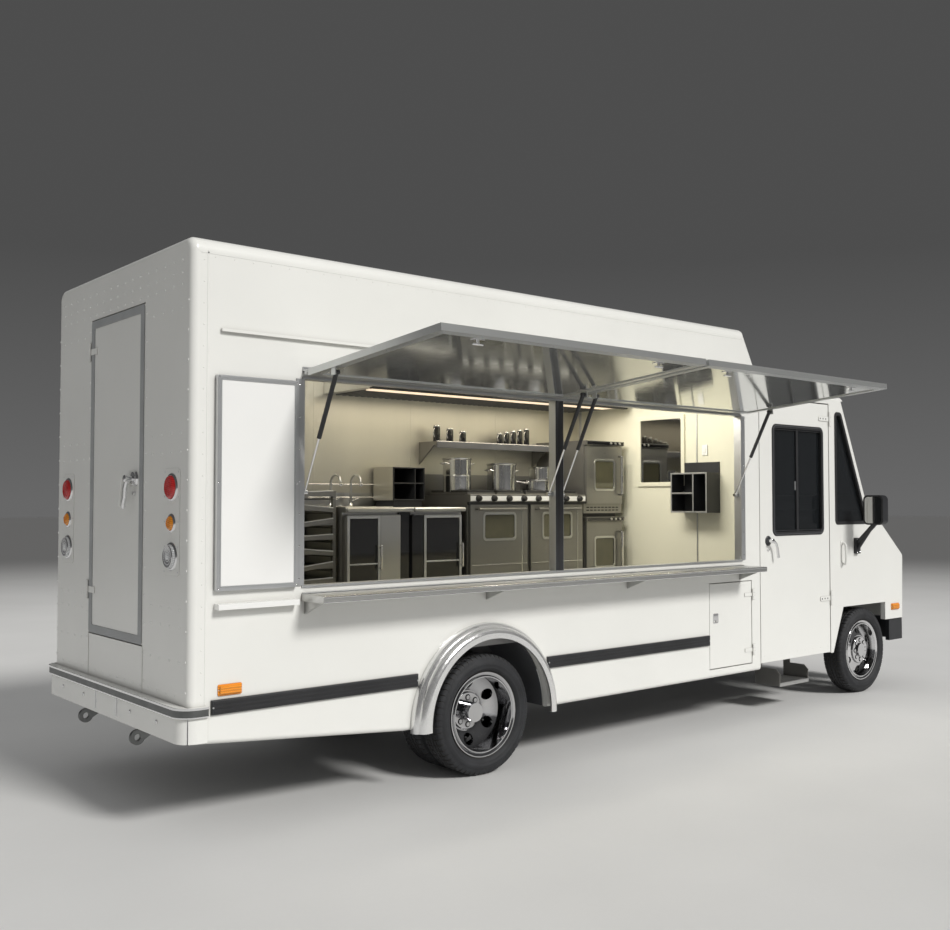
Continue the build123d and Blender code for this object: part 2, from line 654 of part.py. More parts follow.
def make_rear_handle():
    """Round rose and a drooping lever."""
    rose = rod((-HANDLE_ROSE[1], HANDLE_Y, HANDLE_Z), (1, HANDLE_Y, HANDLE_Z), HANDLE_ROSE[0])
    neck = rod((-HANDLE_NECK[1], HANDLE_Y, HANDLE_Z), (-HANDLE_ROSE[1] + 1, HANDLE_Y, HANDLE_Z), HANDLE_NECK[0])
    end = (-LEVER_OUT, HANDLE_Y + LEVER_REACH[0], HANDLE_Z - LEVER_REACH[1])
    lever = rod((-LEVER_OUT, HANDLE_Y, HANDLE_Z + LEVER_TOP), end, LEVER_RADIUS)
    return rose + neck + lever


ACCESS_HINGE_OUT = 2.0            # hinge axis beyond the door's opening
ACCESS_HINGE_IN = 120.0           # hinges from the door's lower and upper edges
ACCESS_HINGE_X = ACCESS_X[1] + ACCESS_HINGE_OUT
ACCESS_HINGE_Z = (ACCESS_Z[0] + ACCESS_HINGE_IN, ACCESS_Z[1] - ACCESS_HINGE_IN)
ACCESS_HINGE_LENGTH = 90.0
ACCESS_THICK = 40.0


def make_access_door():
    x = (ACCESS_X[0] + DOOR_GAP, ACCESS_X[1] - DOOR_GAP)
    z = (ACCESS_Z[0] + DOOR_GAP, ACCESS_Z[1] - DOOR_GAP)
    leaf = block(x, (-HALF, -HALF + ACCESS_THICK), z)
    leaf = fillet(leaf.faces().sort_by(Axis.Y)[0].edges(), DOOR_EDGE)
    for mid in ACCESS_HINGE_Z:
        leaf += side_hinge(ACCESS_HINGE_X, mid, ACCESS_HINGE_LENGTH)[0]
    return leaf


# Hatches, modelled closed in their own frame: u away from the hinge axis, v to the outside face
HINGE_AXIS_Y = -HALF - HINGE_OUT


def make_hatch(x):
    """A framed panel with a round bead along its hinge edge, swung up to its open place."""
    under = HATCH_FACE - HATCH_THICK
    panel = block(x, (-HATCH_REACH, -HATCH_EDGE), (under, HATCH_FACE))
    panel -= block((x[0] + HATCH_RIM, x[1] - HATCH_RIM), (-HATCH_REACH + HATCH_RIM, -HATCH_EDGE - HATCH_RIM),
                   (under - 1, under + HATCH_RECESS))
    panel += block(x, (-HATCH_EDGE - 1, 0), (-NECK / 2, NECK / 2))
    panel += rod((x[0], 0, 0), (x[1], 0, 0), BEAD)
    for stud, way in zip(strut_planes(x), (1, -1)):
        near = stud - way * (EYE_WIDTH / 2 + FIT)
        lug = (-STRUT_ALONG - EYE_LUG, -STRUT_ALONG + EYE_LUG)
        panel += block((near, near - way * EYE_PLATE), lug, (-STRUT_BELOW - EYE_LUG, under + HATCH_RECESS + 1))
    return Pos(0, HINGE_AXIS_Y, HINGE_Z) * Rot(-HATCH_TILT, 0, 0) * panel


def hatch_spans():
    middle = (POST_X[0] + POST_X[1]) / 2
    return {"rear": (OPENING_X[0], middle - HATCH_SPLIT / 2), "front": (middle + HATCH_SPLIT / 2, OPENING_X[1])}


def strut_ends():
    """Upper and lower eye of the struts with the hatches open, as (y, z)."""
    tilt = math.radians(HATCH_TILT)
    top = (HINGE_AXIS_Y - STRUT_ALONG * math.cos(tilt) - STRUT_BELOW * math.sin(tilt),
           HINGE_Z + STRUT_ALONG * math.sin(tilt) - STRUT_BELOW * math.cos(tilt))
    return top, (-HALF + STRUT_FOOT[0], STRUT_FOOT[1])


def strut_planes(span):
    """The x of a hatch's two struts: inside the jamb at one end and the post at the other."""
    low = max(OPENING_X[0] + JAMB, POST_X[1] if span[0] > POST_X[0] else 0)
    high = min(OPENING_X[1] - JAMB, POST_X[0] if span[1] < POST_X[1] else OPENING_X[1])
    return (low + STRUT_IN, high - STRUT_IN)


def make_cylinders(span):
    """Barrels of a hatch's two struts, hung from the hatch."""
    top, foot = strut_ends()
    length = math.dist(top, foot)
    way = ((foot[0] - top[0]) / length, (foot[1] - top[1]) / length)
    barrel = length - STRUT_STROKE - 2 * EYE_RADIUS
    bore = STRUT_ROD + FIT
    solids = []
    for x in strut_planes(span):
        def at(d):
            return (x, top[0] + way[0] * d, top[1] + way[1] * d)
        eye = rod((x - EYE_WIDTH / 2, *top), (x + EYE_WIDTH / 2, *top), EYE_RADIUS)
        tube = rod(at(EYE_RADIUS - 3), at(barrel), STRUT_BARREL)
        tube -= rod(at(3 * EYE_RADIUS), at(barrel + 1), bore)
        solids.append(eye + tube)
    return Compound(children=solids)


def make_rods(span):
    """Rods of a hatch's two struts, with the eye that meets the jamb."""
    top, foot = strut_ends()
    length = math.dist(top, foot)
    way = ((foot[0] - top[0]) / length, (foot[1] - top[1]) / length)
    inside = length - STRUT_STROKE - 4 * EYE_RADIUS
    solids = []
    for x in strut_planes(span):
        def at(d):
            return (x, top[0] + way[0] * d, top[1] + way[1] * d)
        eye = rod((x - EYE_WIDTH / 2, *foot), (x + EYE_WIDTH / 2, *foot), EYE_RADIUS)
        solids.append(eye + rod(at(inside), at(length - EYE_RADIUS + 3), STRUT_ROD))
    return Compound(children=solids)


def make_window_frame():
    """Header with the hook the hatches hang in, sill, jambs and centre post, each a bar of its own."""
    x, z = OPENING_X, OPENING_Z
    y = (-HALF - TRIM_OUT, -INNER + JAMB)
    bars = []
    for low, high, trim in ((x[0], x[0] + JAMB, -1), (x[1] - JAMB, x[1], 1)):
        edge = low if trim < 0 else high
        bar = block((low + FIT, high - FIT), y, (z[0] + JAMB + FIT, z[1] - JAMB - FIT))
        bar += block((edge - TRIM_WIDTH if trim < 0 else edge - 2, edge + 2 if trim < 0 else edge + TRIM_WIDTH),
                     (-HALF - TRIM_OUT, -HALF), (z[0] + JAMB + FIT, z[1] - JAMB - FIT))
        near = edge - trim * (JAMB + STRUT_IN - EYE_WIDTH / 2 - FIT)
        foot = strut_ends()[1]
        bar += block((edge - trim * (JAMB - 1), near), *[(at - EYE_BLOCK, at + EYE_BLOCK) for at in foot])
        bars.append(bar)
    sill = block((x[0] + FIT, x[1] - FIT), y, (z[0] + FIT, z[0] + JAMB))
    header = block((x[0] + FIT, x[1] - FIT), (-HALF - TRIM_OUT, -INNER + JAMB), (z[1] - JAMB, z[1] - FIT))
    post_y = (-HALF - TRIM_OUT, -HALF - TRIM_OUT + POST_DEPTH)
    post = block(POST_X, post_y, (z[0] + JAMB + FIT, z[1] - JAMB - FIT))
    for edge, way in zip(POST_X, (-1, 1)):
        near = edge + way * (STRUT_IN - EYE_WIDTH / 2 - FIT)
        foot = strut_ends()[1]
        post += block((edge - way, near), *[(at - EYE_BLOCK, at + EYE_BLOCK) for at in foot])
    return Compound(children=bars + [sill, header, post, make_hatch_rail()])


HOOK_OPEN = (25.0, -115.0)        # the hook is open between these angles, up from straight out


def make_hatch_rail():
    """Long hook on the side wall that holds both hatches' beads."""
    inner = BEAD + FIT
    outer = inner + HOOK_SHEET
    mouth = [(0, 0)]
    reach = 4 * outer
    for i in range(7):
        angle = math.radians(HOOK_OPEN[0] + (HOOK_OPEN[1] - HOOK_OPEN[0]) * i / 6)
        mouth.append((-reach * math.cos(angle), reach * math.sin(angle)))
    ring = Circle(outer) - Circle(inner) - make_face(Polyline(*mouth, close=True))
    web = Pos((HINGE_OUT + outer) / 2 - 1, outer - 4) * Rectangle(HINGE_OUT - outer + 2, 8)
    web += Pos(HINGE_OUT - 3, outer / 2 + 10) * Rectangle(6, 2 * outer)
    ring += web - Circle(inner)
    span = (OPENING_X[0], OPENING_X[1])
    rail = extrude(end_plane(span[0]) * (Pos(HINGE_AXIS_Y, HINGE_Z) * ring), span[1] - span[0])
    return rail


def make_counter():
    y = (-HALF - COUNTER_OUT, -HALF)
    z = (COUNTER_TOP - COUNTER_THICK, COUNTER_TOP)
    shelf = block(OPENING_X, y, z)
    shelf = fillet(shelf.edges().filter_by(Axis.X).group_by(Axis.Y)[0], COUNTER_NOSE)
    ends = (OPENING_X[0] + BRACKET_END, OPENING_X[1] - BRACKET_END - BRACKET_SHEET)
    for i in range(COUNTER_BRACKETS):
        x = ends[0] + (ends[1] - ends[0]) * i / (COUNTER_BRACKETS - 1)
        shape = [(-HALF, z[0] + 1), (-HALF - BRACKET_REACH, z[0] + 1), (-HALF, z[0] - BRACKET_DROP)]
        shelf += end_plate(shape, (x, x + BRACKET_SHEET))
    return shelf


MENU_REAR = 147.0
MENU_IN = 44.0            # from the opening's rear edge
MENU_FOOT = 14.0          # above the opening's sill
MENU_HEAD = 35.0          # below the opening's head
MENU_X = (MENU_REAR, OPENING_X[0] - MENU_IN)
MENU_Z = (OPENING_Z[0] + MENU_FOOT, OPENING_Z[1] - MENU_HEAD)
MENU_OUT = 28.0
MENU_RIM = 40.0
MENU_RECESS = 10.0
LEDGE_Z = (1243.0, 1275.0)
LEDGE_OUT = 60.0


def make_menu_board():
    face = -HALF - MENU_OUT
    board = block(MENU_X, (face, -HALF), MENU_Z)
    board -= block((MENU_X[0] + MENU_RIM, MENU_X[1] - MENU_RIM), (face - 1, face + MENU_RECESS),
                   (MENU_Z[0] + MENU_RIM, MENU_Z[1] - MENU_RIM))
    ledge = block(MENU_X, (-HALF - LEDGE_OUT, -HALF), LEDGE_Z)
    return Compound(children=[board, ledge])


# Trim on the body
RUB_Z = (660.0, 742.0)
RUB_OUT = 18.0
RUB_REAR_X = 132.0
RUB_GAP = 4.0
RUB_ROUND = 7.2
RUB_END = (10.0, 20.0)    # from the access door on the right, from the body's front edge on the left


def make_rub_rails():
    chord = math.sqrt(FLARE_RADIUS ** 2 - (RUB_Z[0] - ARCH_Z) ** 2) + RUB_GAP
    rails = []
    for _, side in SIDES:
        last = ACCESS_X[0] - RUB_END[0] if side < 0 else KITCHEN_FRONT_X - RUB_END[1]
        for x in ((RUB_REAR_X, REAR_AXLE_X - chord), (REAR_AXLE_X + chord, last)):
            y = (side * HALF, side * (HALF + RUB_OUT))
            rail = block(x, y, RUB_Z)
            far = rail.faces().sort_by(Axis.Y)[-1 if side > 0 else 0]
            rails.append(fillet(far.edges(), RUB_ROUND))
    return Compound(children=rails)


def flare_line(inset):
    """Open outline of the flare's section, (radius, y), inside its outer face: two rounds and a lip."""
    edge, lip = FLARE_RADIUS - inset, FLARE_LIP_RADIUS + FLARE_LIP
    groove = (FLARE_GROOVE[0] - inset * 0.8, -FLARE_GROOVE[1] + inset * 0.6)
    foot = (edge, -FLARE_EDGE)
    face = (lip, -FLARE_OUT + inset)
    lines = [Line((edge, 0), foot)]
    for start, end in ((foot, groove), (groove, face)):
        run = (end[0] - start[0], end[1] - start[1])
        middle = ((start[0] + end[0]) / 2 - FLARE_BULGE * run[1], (start[1] + end[1]) / 2 + FLARE_BULGE * run[0])
        lines.append(ThreePointArc(start, middle, end))
    return lines + [Line(face, (FLARE_LIP_RADIUS, face[1]))]


def make_flare():
    """Bright flare round the rear wheel arch on the right side."""
    outer, inner = flare_line(0), flare_line(FLARE_SHEET)
    ends = [Line(outer[0] @ 0, inner[0] @ 0), Line(outer[-1] @ 1, inner[-1] @ 1)]
    face = Rot(0, FLARE_DROP_DEG, 0) * make_face(outer + inner + ends)
    ring = revolve(face, axis=Axis((0, 0, 0), (0, -1, 0)), revolution_arc=180 + 2 * FLARE_DROP_DEG)
    return Pos(REAR_AXLE_X, -HALF, ARCH_Z) * ring


BUMPER_OUT = 45.0
BUMPER_Z = (515.0, 715.0)
BUMPER_CORNER = 95.0
BUMPER_WRAP = 108.0
BUMPER_SIDE = 14.0
BUMPER_SHEET = 40.0
BUMPER_STRIP = 58.0
BUMPER_STRIP_OUT = 12.0
BUMPER_CENTRE = 165.0
BUMPER_SLIT = (10.0, 8.0, 25.0, 12.0)     # width, depth, above the foot, below the strip
BUMPER_ARM = (25.0, 90.0)                 # half width, above the bumper's foot


def bumper_ring(out, z):
    """Plan of the rear bumper: a straight back with rounded ends that wrap round the body."""
    half = HALF + BUMPER_SIDE + out
    x0, x1 = -BUMPER_OUT - out, BUMPER_WRAP + 4 * BUMPER_CORNER
    shell = Pos((x0 + x1) / 2, 0) * RectangleRounded(x1 - x0, 2 * half, BUMPER_CORNER + out)
    body = extrude(Plane.XY.offset(z[0]) * shell, z[1] - z[0])
    return body - block((BUMPER_WRAP, FAR), (-FAR, FAR), (0, FAR))


def make_rear_bumper():
    bumper = bumper_ring(0, BUMPER_Z)
    bumper += bumper_ring(BUMPER_STRIP_OUT, (BUMPER_Z[1] - BUMPER_STRIP, BUMPER_Z[1]))
    bumper -= block((-BUMPER_OUT + BUMPER_SHEET, FAR), (-HALF - FIT, HALF + FIT), (0, FAR))
    wide, deep, low, high = BUMPER_SLIT
    slit_z = (BUMPER_Z[0] + low, BUMPER_Z[1] - BUMPER_STRIP - high)
    arm_z = (BUMPER_Z[0] + BUMPER_ARM[1], REAR_WALL_FOOT - FIT)
    for _, side in SIDES:
        slit = (side * BUMPER_CENTRE, side * (BUMPER_CENTRE + wide))
        bumper -= block((-FAR, -BUMPER_OUT + deep), slit, slit_z)
        arm = (side * (RAIL_Y - BUMPER_ARM[0]), side * (RAIL_Y + BUMPER_ARM[0]))
        bumper += block((-BUMPER_OUT + BUMPER_SHEET - 1, WALL), arm, arm_z)
    return bumper


FRONT_BUMPER_OUT = 38.0           # ahead of the nose
FRONT_BUMPER_Z = (455.0, 665.0)
FRONT_BUMPER_SHEET = 90.0
FRONT_BUMPER_RETURN = 300.0
FRONT_BUMPER_SIDE = 40.0
FRONT_BUMPER_CORNER = 60.0
FRONT_BUMPER_IN = 25.0
FRONT_BUMPER_ARM = (28.0, 610.0, 660.0)   # half width, heights
FRONT_BUMPER_X = NOSE_TOP[0] + FRONT_BUMPER_OUT
FRONT_BUMPER_RETURN_X = FRONT_BUMPER_X - FRONT_BUMPER_RETURN


def make_front_bumper():
    half = HALF - FRONT_BUMPER_IN
    x = (FRONT_BUMPER_RETURN_X, FRONT_BUMPER_X)
    plan = Pos((x[0] + x[1]) / 2, 0) * Rectangle(x[1] - x[0], 2 * half)
    body = extrude(Plane.XY.offset(FRONT_BUMPER_Z[0]) * plan, FRONT_BUMPER_Z[1] - FRONT_BUMPER_Z[0])
    corners = body.edges().filter_by(Axis.Z).group_by(Axis.X)[-1]
    body = fillet(corners, FRONT_BUMPER_CORNER)
    cut = FRONT_BUMPER_X - FRONT_BUMPER_SHEET
    inside = half - FRONT_BUMPER_SIDE
    body -= block((x[0] - 1, cut), (-inside, inside), (0, FAR))
    wide, *arm_z = FRONT_BUMPER_ARM
    for _, side in SIDES:
        body += block((RAIL_FRONT_X, cut + 1), (side * (RAIL_Y - wide), side * (RAIL_Y + wide)), arm_z)
    return body


# Lamps
TAIL_IN = 233.0                   # inside the body side
TAIL_Y = HALF - TAIL_IN
TAIL_LAMPS = (                    # height, radius, depth, colour
    (1927.0, 68.0, 26.0, "red"),
    (1723.0, 42.0, 22.0, "amber"),
    (1535.0, 68.0, 26.0, "clear"),
)
MARKER_REAR = 247.0
MARKER_NOSE = 192.0               # behind the nose
MARKER_X = (MARKER_REAR, NOSE_TOP[0] - MARKER_NOSE)
MARKER_Z = 792.0
MARKER_SIZE = (130.0, 20.0, 46.0)
MARKER_ROUND = 6.0
FRONT_LAMP_IN = 310.0             # inside the body side
FRONT_LAMP_Y = HALF - FRONT_LAMP_IN
FRONT_LAMPS = (
    (960.0, 95.0, 40.0, "clear"),
    (790.0, 45.0, 25.0, "amber"),
)


def round_lamp(x, y, z, radius, depth, turn):
    """A domed lens standing on a face; turn is its angle about Y, 90 to look ahead and -90 to look back."""
    lens = Pos(0, 0, depth / 2) * Cylinder(radius, depth)
    lens = fillet(lens.edges().group_by(Axis.Z)[-1], depth * 0.6)
    return Pos(x, y, z) * Rot(0, turn, 0) * lens


def make_lamps():
    lamps = {"red": [], "amber": [], "clear": []}
    for _, side in SIDES:
        for z, radius, depth, colour in TAIL_LAMPS:
            lamps[colour].append(round_lamp(0, side * TAIL_Y, z, radius, depth, -90))
        for x in MARKER_X:
            size = MARKER_SIZE
            lens = block((x - size[0] / 2, x + size[0] / 2), (side * HALF, side * (HALF + size[1])),
                         (MARKER_Z - size[2] / 2, MARKER_Z + size[2] / 2))
            far = lens.faces().sort_by(Axis.Y)[-1 if side > 0 else 0]
            lamps["amber"].append(fillet(far.edges(), MARKER_ROUND))
        ahead = 90 + math.degrees(math.atan2(NOSE_TOP[0] - NOSE_FOOT[0], NOSE_TOP[1] - NOSE_FOOT[1]))
        for z, radius, depth, colour in FRONT_LAMPS:
            lamps[colour].append(round_lamp(nose_x(z) + FIT, side * FRONT_LAMP_Y, z, radius, depth, ahead))
    return {colour: Compound(children=solids) for colour, solids in lamps.items()}


# Mirrors
MIRROR_HEAD = (FRONT_AXLE_X - 194.0, 250.0, 1765.0)       # x, outwards from the side, z
MIRROR_SIZE = (115.0, 200.0, 280.0)
MIRROR_ROUND = (45.0, 30.0)                 # corners, and the front edge
MIRROR_BASE = (FRONT_AXLE_X - 134.0, 1420.0)
MIRROR_FOOT = (35.0, 30.0, 75.0)            # half length, depth and half height of the base
MIRROR_ARM = (22.0, 16.0)                   # radius of the arm and of its brace


def make_mirror():
    x, out, z = MIRROR_HEAD
    head = Pos(x, -HALF - out, z) * Box(*MIRROR_SIZE)
    head = fillet(head.edges().filter_by(Axis.X), MIRROR_ROUND[0])
    head = fillet(head.faces().sort_by(Axis.X)[-1].edges(), MIRROR_ROUND[1])
    low = z - MIRROR_SIZE[2] / 2
    bx, bz = MIRROR_BASE
    long, deep, high = MIRROR_FOOT
    base = block((bx - long, bx + long), (-HALF - deep, -HALF), (bz - high, bz + high))
    start = -HALF - deep / 2
    arm = rod((bx, start, bz + 20), (x, -HALF - out, low + 25), MIRROR_ARM[0])
    brace = rod((bx, start, bz - 40), (x, -HALF - out + 20, low + 15), MIRROR_ARM[1])
    return head + base + arm + brace


# Entry steps under the cab doors
STEP_IN = (280.0, 240.0)          # the hung tread inside the well's rear and front ends
STEP_X = (STEP_WELL_X[0] + STEP_IN[0], STEP_WELL_X[1] - STEP_IN[1])
STEP_Z = 205.0
STEP_DEEP = 260.0
STEP_SHEET = 8.0
STEP_TREAD = 30.0
STEP_SET_IN = 15.0                # tread's edge inside the body side
STEP_HANGER = 70.0                # width of the hangers at the back
STEP_CHEEK = (150.0, 110.0, 40.0) # cheeks' height at the back and at the edge, and their bevel
WELL_TREAD_Z = 470.0


def make_step():
    """Right entry: the well inside the door, and a hung tread below it."""
    y_in, y_out = -STEP_WELL_Y, -INNER + FIT
    x = (STEP_WELL_X[0] + FIT, STEP_WELL_X[1] - FIT)
    well = block(x, (y_out, y_in), (WELL_TREAD_Z - STEP_TREAD, WELL_TREAD_Z))
    well += block(x, (y_in - STEP_SHEET, y_in), (WELL_TREAD_Z - STEP_TREAD, FLOOR_TOP))
    for edge in (x[0], x[1] - STEP_SHEET):
        well += block((edge, edge + STEP_SHEET), (y_out, y_in), (WELL_TREAD_Z - 1, FLOOR_TOP))
    out = -HALF + STEP_SET_IN
    back = out + STEP_DEEP
    low = WELL_TREAD_Z - STEP_TREAD
    tread = block(STEP_X, (out, back), (STEP_Z, STEP_Z + STEP_TREAD))
    hanger = back - STEP_HANGER
    high, edge_high, bevel = STEP_CHEEK
    cheek = [(out, STEP_Z), (back, STEP_Z), (back, low + 1), (hanger, low + 1), (hanger, STEP_Z + high),
             (out + bevel, STEP_Z + high), (out, STEP_Z + edge_high)]
    for edge in (STEP_X[0], STEP_X[1] - STEP_SHEET):
        tread += end_plate(cheek, (edge, edge + STEP_SHEET))
    return well + tread


# Chassis
def make_frame():
    """Two channel rails, cross members and spring hangers."""
    x = (WALL, RAIL_FRONT_X)
    frame = None
    for _, side in SIDES:
        web = (side * (RAIL_Y + RAIL_WIDTH / 2 - RAIL_SHEET), side * (RAIL_Y + RAIL_WIDTH / 2))
        rail = block(x, web, RAIL_Z)
        for z in ((RAIL_Z[0], RAIL_Z[0] + RAIL_SHEET), (RAIL_Z[1] - RAIL_SHEET, RAIL_Z[1])):
            rail += block(x, (side * (RAIL_Y - RAIL_WIDTH / 2), side * (RAIL_Y + RAIL_WIDTH / 2)), z)
        for centre in (REAR_AXLE_X, FRONT_AXLE_X):
            for way in (-1, 1):
                at = centre + way * SPRING_SPAN / 2
                half, sheet, below, above = HANGER
                inner = SPRING_Y - SPRING_WIDTH / 2 - FIT
                outer = SPRING_Y + SPRING_WIDTH / 2 + FIT
                plate_x = (at - half, at + half)
                plate_z = (spring_eye_z() - below, RAIL_Z[0] + above)
                rail += block(plate_x, (side * (inner - sheet), side * inner), plate_z)
                rail += block(plate_x, (side * outer, side * (outer + sheet)), plate_z)
                rail += block(plate_x, (side * (RAIL_Y + RAIL_WIDTH / 2 - 1), side * (outer + sheet)),
                              (plate_z[1] - 2 * sheet, plate_z[1]))
        frame = rail if frame is None else frame + rail
    half = RAIL_Y + RAIL_WIDTH / 2 - 1
    for at in CROSS_X:
        top = RAIL_Z[1] - RAIL_SHEET + 1
        frame += block((at - CROSS_LENGTH / 2, at + CROSS_LENGTH / 2), (-half, half), (top - CROSS_HEIGHT, top))
    return frame


TOW_EYE_X = -18.0
TOW_EYE_Z = 452.0
TOW_EYE_RADIUS = 45.0
TOW_BORE = 20.0
TOW_PLATE = 24.0
TOW_WEB = (60.0, 200.0, 60.0)     # its web under the rail: where it starts and ends, and its depth there


def make_tow_eyes():
    """Eye plates under the ends of the rails, behind and below the bumper."""
    eyes = []
    for _, side in SIDES:
        y = (side * RAIL_Y - TOW_PLATE / 2, side * RAIL_Y + TOW_PLATE / 2)
        plate = rod((TOW_EYE_X, y[0], TOW_EYE_Z), (TOW_EYE_X, y[1], TOW_EYE_Z), TOW_EYE_RADIUS)
        start, end, deep = TOW_WEB
        under = RAIL_Z[0]
        shape = [(TOW_EYE_X, TOW_EYE_Z - TOW_EYE_RADIUS + 2), (end, under - deep), (end, under), (start, under),
                 (TOW_EYE_X, TOW_EYE_Z + TOW_EYE_RADIUS - 2)]
        plate += side_plate(shape, y)
        plate -= rod((TOW_EYE_X, y[0] - 1, TOW_EYE_Z), (TOW_EYE_X, y[1] + 1, TOW_EYE_Z), TOW_BORE)
        eyes.append(plate)
    return Compound(children=eyes)


def spring_eye_z():
    return SPRING_SEAT_Z + SPRING_RISE


AXLE_TUBE = 62.0
SPRING_SEAT_Z = TYRE_RADIUS + AXLE_TUBE


def make_spring(axle_x):
    """A leaf pack on the right: leaves shorten downwards, and the main leaf ends in eyes."""
    span = SPRING_SPAN / 2
    rise = SPRING_RISE
    radius = (span ** 2 + rise ** 2) / (2 * rise)
    centre = Pos(axle_x, SPRING_SEAT_Z + radius)
    pack = None
    for i in range(LEAVES):
        a = math.asin(span / radius) * (1 - LEAF_STEP * i)
        ring = Circle(radius - i * LEAF) - Circle(radius - (i + 1) * LEAF)
        reach = 1.5 * radius
        half = reach * math.tan(a)
        wedge = make_face(Polyline((0, 0), (-half, -reach), (half, -reach), close=True))
        leaf = ring & wedge
        pack = leaf if pack is None else pack + leaf
    y = (-SPRING_Y - SPRING_WIDTH / 2, -SPRING_Y + SPRING_WIDTH / 2)
    solid = extrude(side_plane(y[1]) * (centre * pack), SPRING_WIDTH)
    for way in (-1, 1):
        at = (axle_x + way * span, spring_eye_z())
        solid += rod((at[0], y[0], at[1]), (at[0], y[1], at[1]), SPRING_EYE)
    return solid


DIFF_RADIUS = 175.0
DIFF_WIDE = 170.0
PINION = 250.0            # nose of the differential ahead of the axle
PINION_RADIUS = 80.0
AXLE_SHORT = 130.0        # the tube ends inside the twin wheels' mating plane
SPINDLE_PAST = 70.0       # and the spindle outside it
SPRING_PAD = (70.0, 60.0) # half length of the spring seats, rear and front


def rear_hub_y():
    """Mating plane of the twin wheels, out from the middle plane."""
    return REAR_TRACK / 2


def make_rear_axle():
    tube_end = rear_hub_y() - AXLE_SHORT
    z = TYRE_RADIUS
    housing = rod((REAR_AXLE_X, -tube_end, z), (REAR_AXLE_X, tube_end, z), AXLE_TUBE)
    housing += Pos(REAR_AXLE_X, 0, z) * Rot(90, 0, 0) * Cylinder(DIFF_RADIUS, DIFF_WIDE)
    housing += rod((REAR_AXLE_X, 0, z), (REAR_AXLE_X + PINION, 0, z), PINION_RADIUS)
    spindle = rear_hub_y() + SPINDLE_PAST
    housing += rod((REAR_AXLE_X, -spindle, z), (REAR_AXLE_X, spindle, z), SPINDLE_RADIUS)
    for _, side in SIDES:
        y = (side * (SPRING_Y - SPRING_WIDTH / 2), side * (SPRING_Y + SPRING_WIDTH / 2))
        pad = (REAR_AXLE_X - SPRING_PAD[0], REAR_AXLE_X + SPRING_PAD[0])
        housing += block(pad, y, (z, SPRING_SEAT_Z - FIT))
    return Compound(children=[housing, *both_sides(make_spring(REAR_AXLE_X)).solids()])


EYE_HEIGHT = 90.0
LUG_HEIGHT = 26.0
BEAM_HALF = 35.0          # half the front beam's thickness
BEAM_END = 30.0           # half its height at the kingpins
BEAM_LOW = (180.0, 75.0)  # underside: where it levels out from the kingpins, and how far down
BEAM_HIGH = (200.0, 5.0)  # the same for its upper side
PAD_DROP = 40.0
KNUCKLE_LUG = 30.0        # half the lugs' thickness
KNUCKLE_WEB = (6.0, 22.0) # upright web: clear of the axle's eye, and its sheet
FRONT_SPINDLE = 60.0      # spindle past the wheel's middle plane


def make_front_axle():
    """Forged beam that drops under the engine, with an upright eye at each end for the kingpin."""
    z = TYRE_RADIUS
    seat = SPRING_SEAT_Z - FIT
    pin = KINGPIN_Y
    low, high = pin - BEAM_LOW[0], pin - BEAM_HIGH[0]
    under = [(-pin, z - BEAM_END), (-low, z - BEAM_LOW[1]), (low, z - BEAM_LOW[1]), (pin, z - BEAM_END)]
    over = [(pin, z + BEAM_END), (high, z + BEAM_HIGH[1]), (-high, z + BEAM_HIGH[1]), (-pin, z + BEAM_END)]
    beam = end_plate(under + over, (FRONT_AXLE_X - BEAM_HALF, FRONT_AXLE_X + BEAM_HALF))
    pad_x = (FRONT_AXLE_X - SPRING_PAD[1], FRONT_AXLE_X + SPRING_PAD[1])
    bore = KINGPIN_RADIUS + RUNNING
    for _, side in SIDES:
        y = side * KINGPIN_Y
        eye = rod((FRONT_AXLE_X, y, z - EYE_HEIGHT / 2), (FRONT_AXLE_X, y, z + EYE_HEIGHT / 2), KNUCKLE_RADIUS)
        beam += eye
        beam -= rod((FRONT_AXLE_X, y, z - EYE_HEIGHT), (FRONT_AXLE_X, y, z + EYE_HEIGHT), bore)
        pad = (side * (SPRING_Y - SPRING_WIDTH / 2), side * (SPRING_Y + SPRING_WIDTH / 2))
        beam += block(pad_x, pad, (z - PAD_DROP, seat))
    return Compound(children=[beam, *both_sides(make_spring(FRONT_AXLE_X)).solids()])


def front_hub_y():
    """Middle plane of a front wheel, out from the middle plane of the truck."""
    return FRONT_TRACK / 2


def make_knuckle():
    """Right steering knuckle: kingpin and two lugs round the axle's eye, with the wheel spindle."""
    z = TYRE_RADIUS
    y = -KINGPIN_Y
    low = z - EYE_HEIGHT / 2 - RUNNING
    high = z + EYE_HEIGHT / 2 + RUNNING
    knuckle = rod((FRONT_AXLE_X, y, low - LUG_HEIGHT), (FRONT_AXLE_X, y, high + LUG_HEIGHT), KINGPIN_RADIUS)
    clear, sheet = KNUCKLE_WEB
    web_y = y - KNUCKLE_RADIUS - clear
    lug_x = (FRONT_AXLE_X - KNUCKLE_LUG, FRONT_AXLE_X + KNUCKLE_LUG)
    web_x = (FRONT_AXLE_X - BEAM_HALF, FRONT_AXLE_X + BEAM_HALF)
    for z0, z1 in ((low - LUG_HEIGHT, low), (high, high + LUG_HEIGHT)):
        knuckle += rod((FRONT_AXLE_X, y, z0), (FRONT_AXLE_X, y, z1), KNUCKLE_RADIUS)
        knuckle += block(lug_x, (web_y - sheet + 2, y), (z0, z1))
    knuckle += block(web_x, (web_y - sheet, web_y), (low - LUG_HEIGHT, high + LUG_HEIGHT))
    end = -front_hub_y() - FRONT_SPINDLE
    knuckle += rod((FRONT_AXLE_X, web_y - sheet + 2, z), (FRONT_AXLE_X, end, z), SPINDLE_RADIUS)
    return knuckle


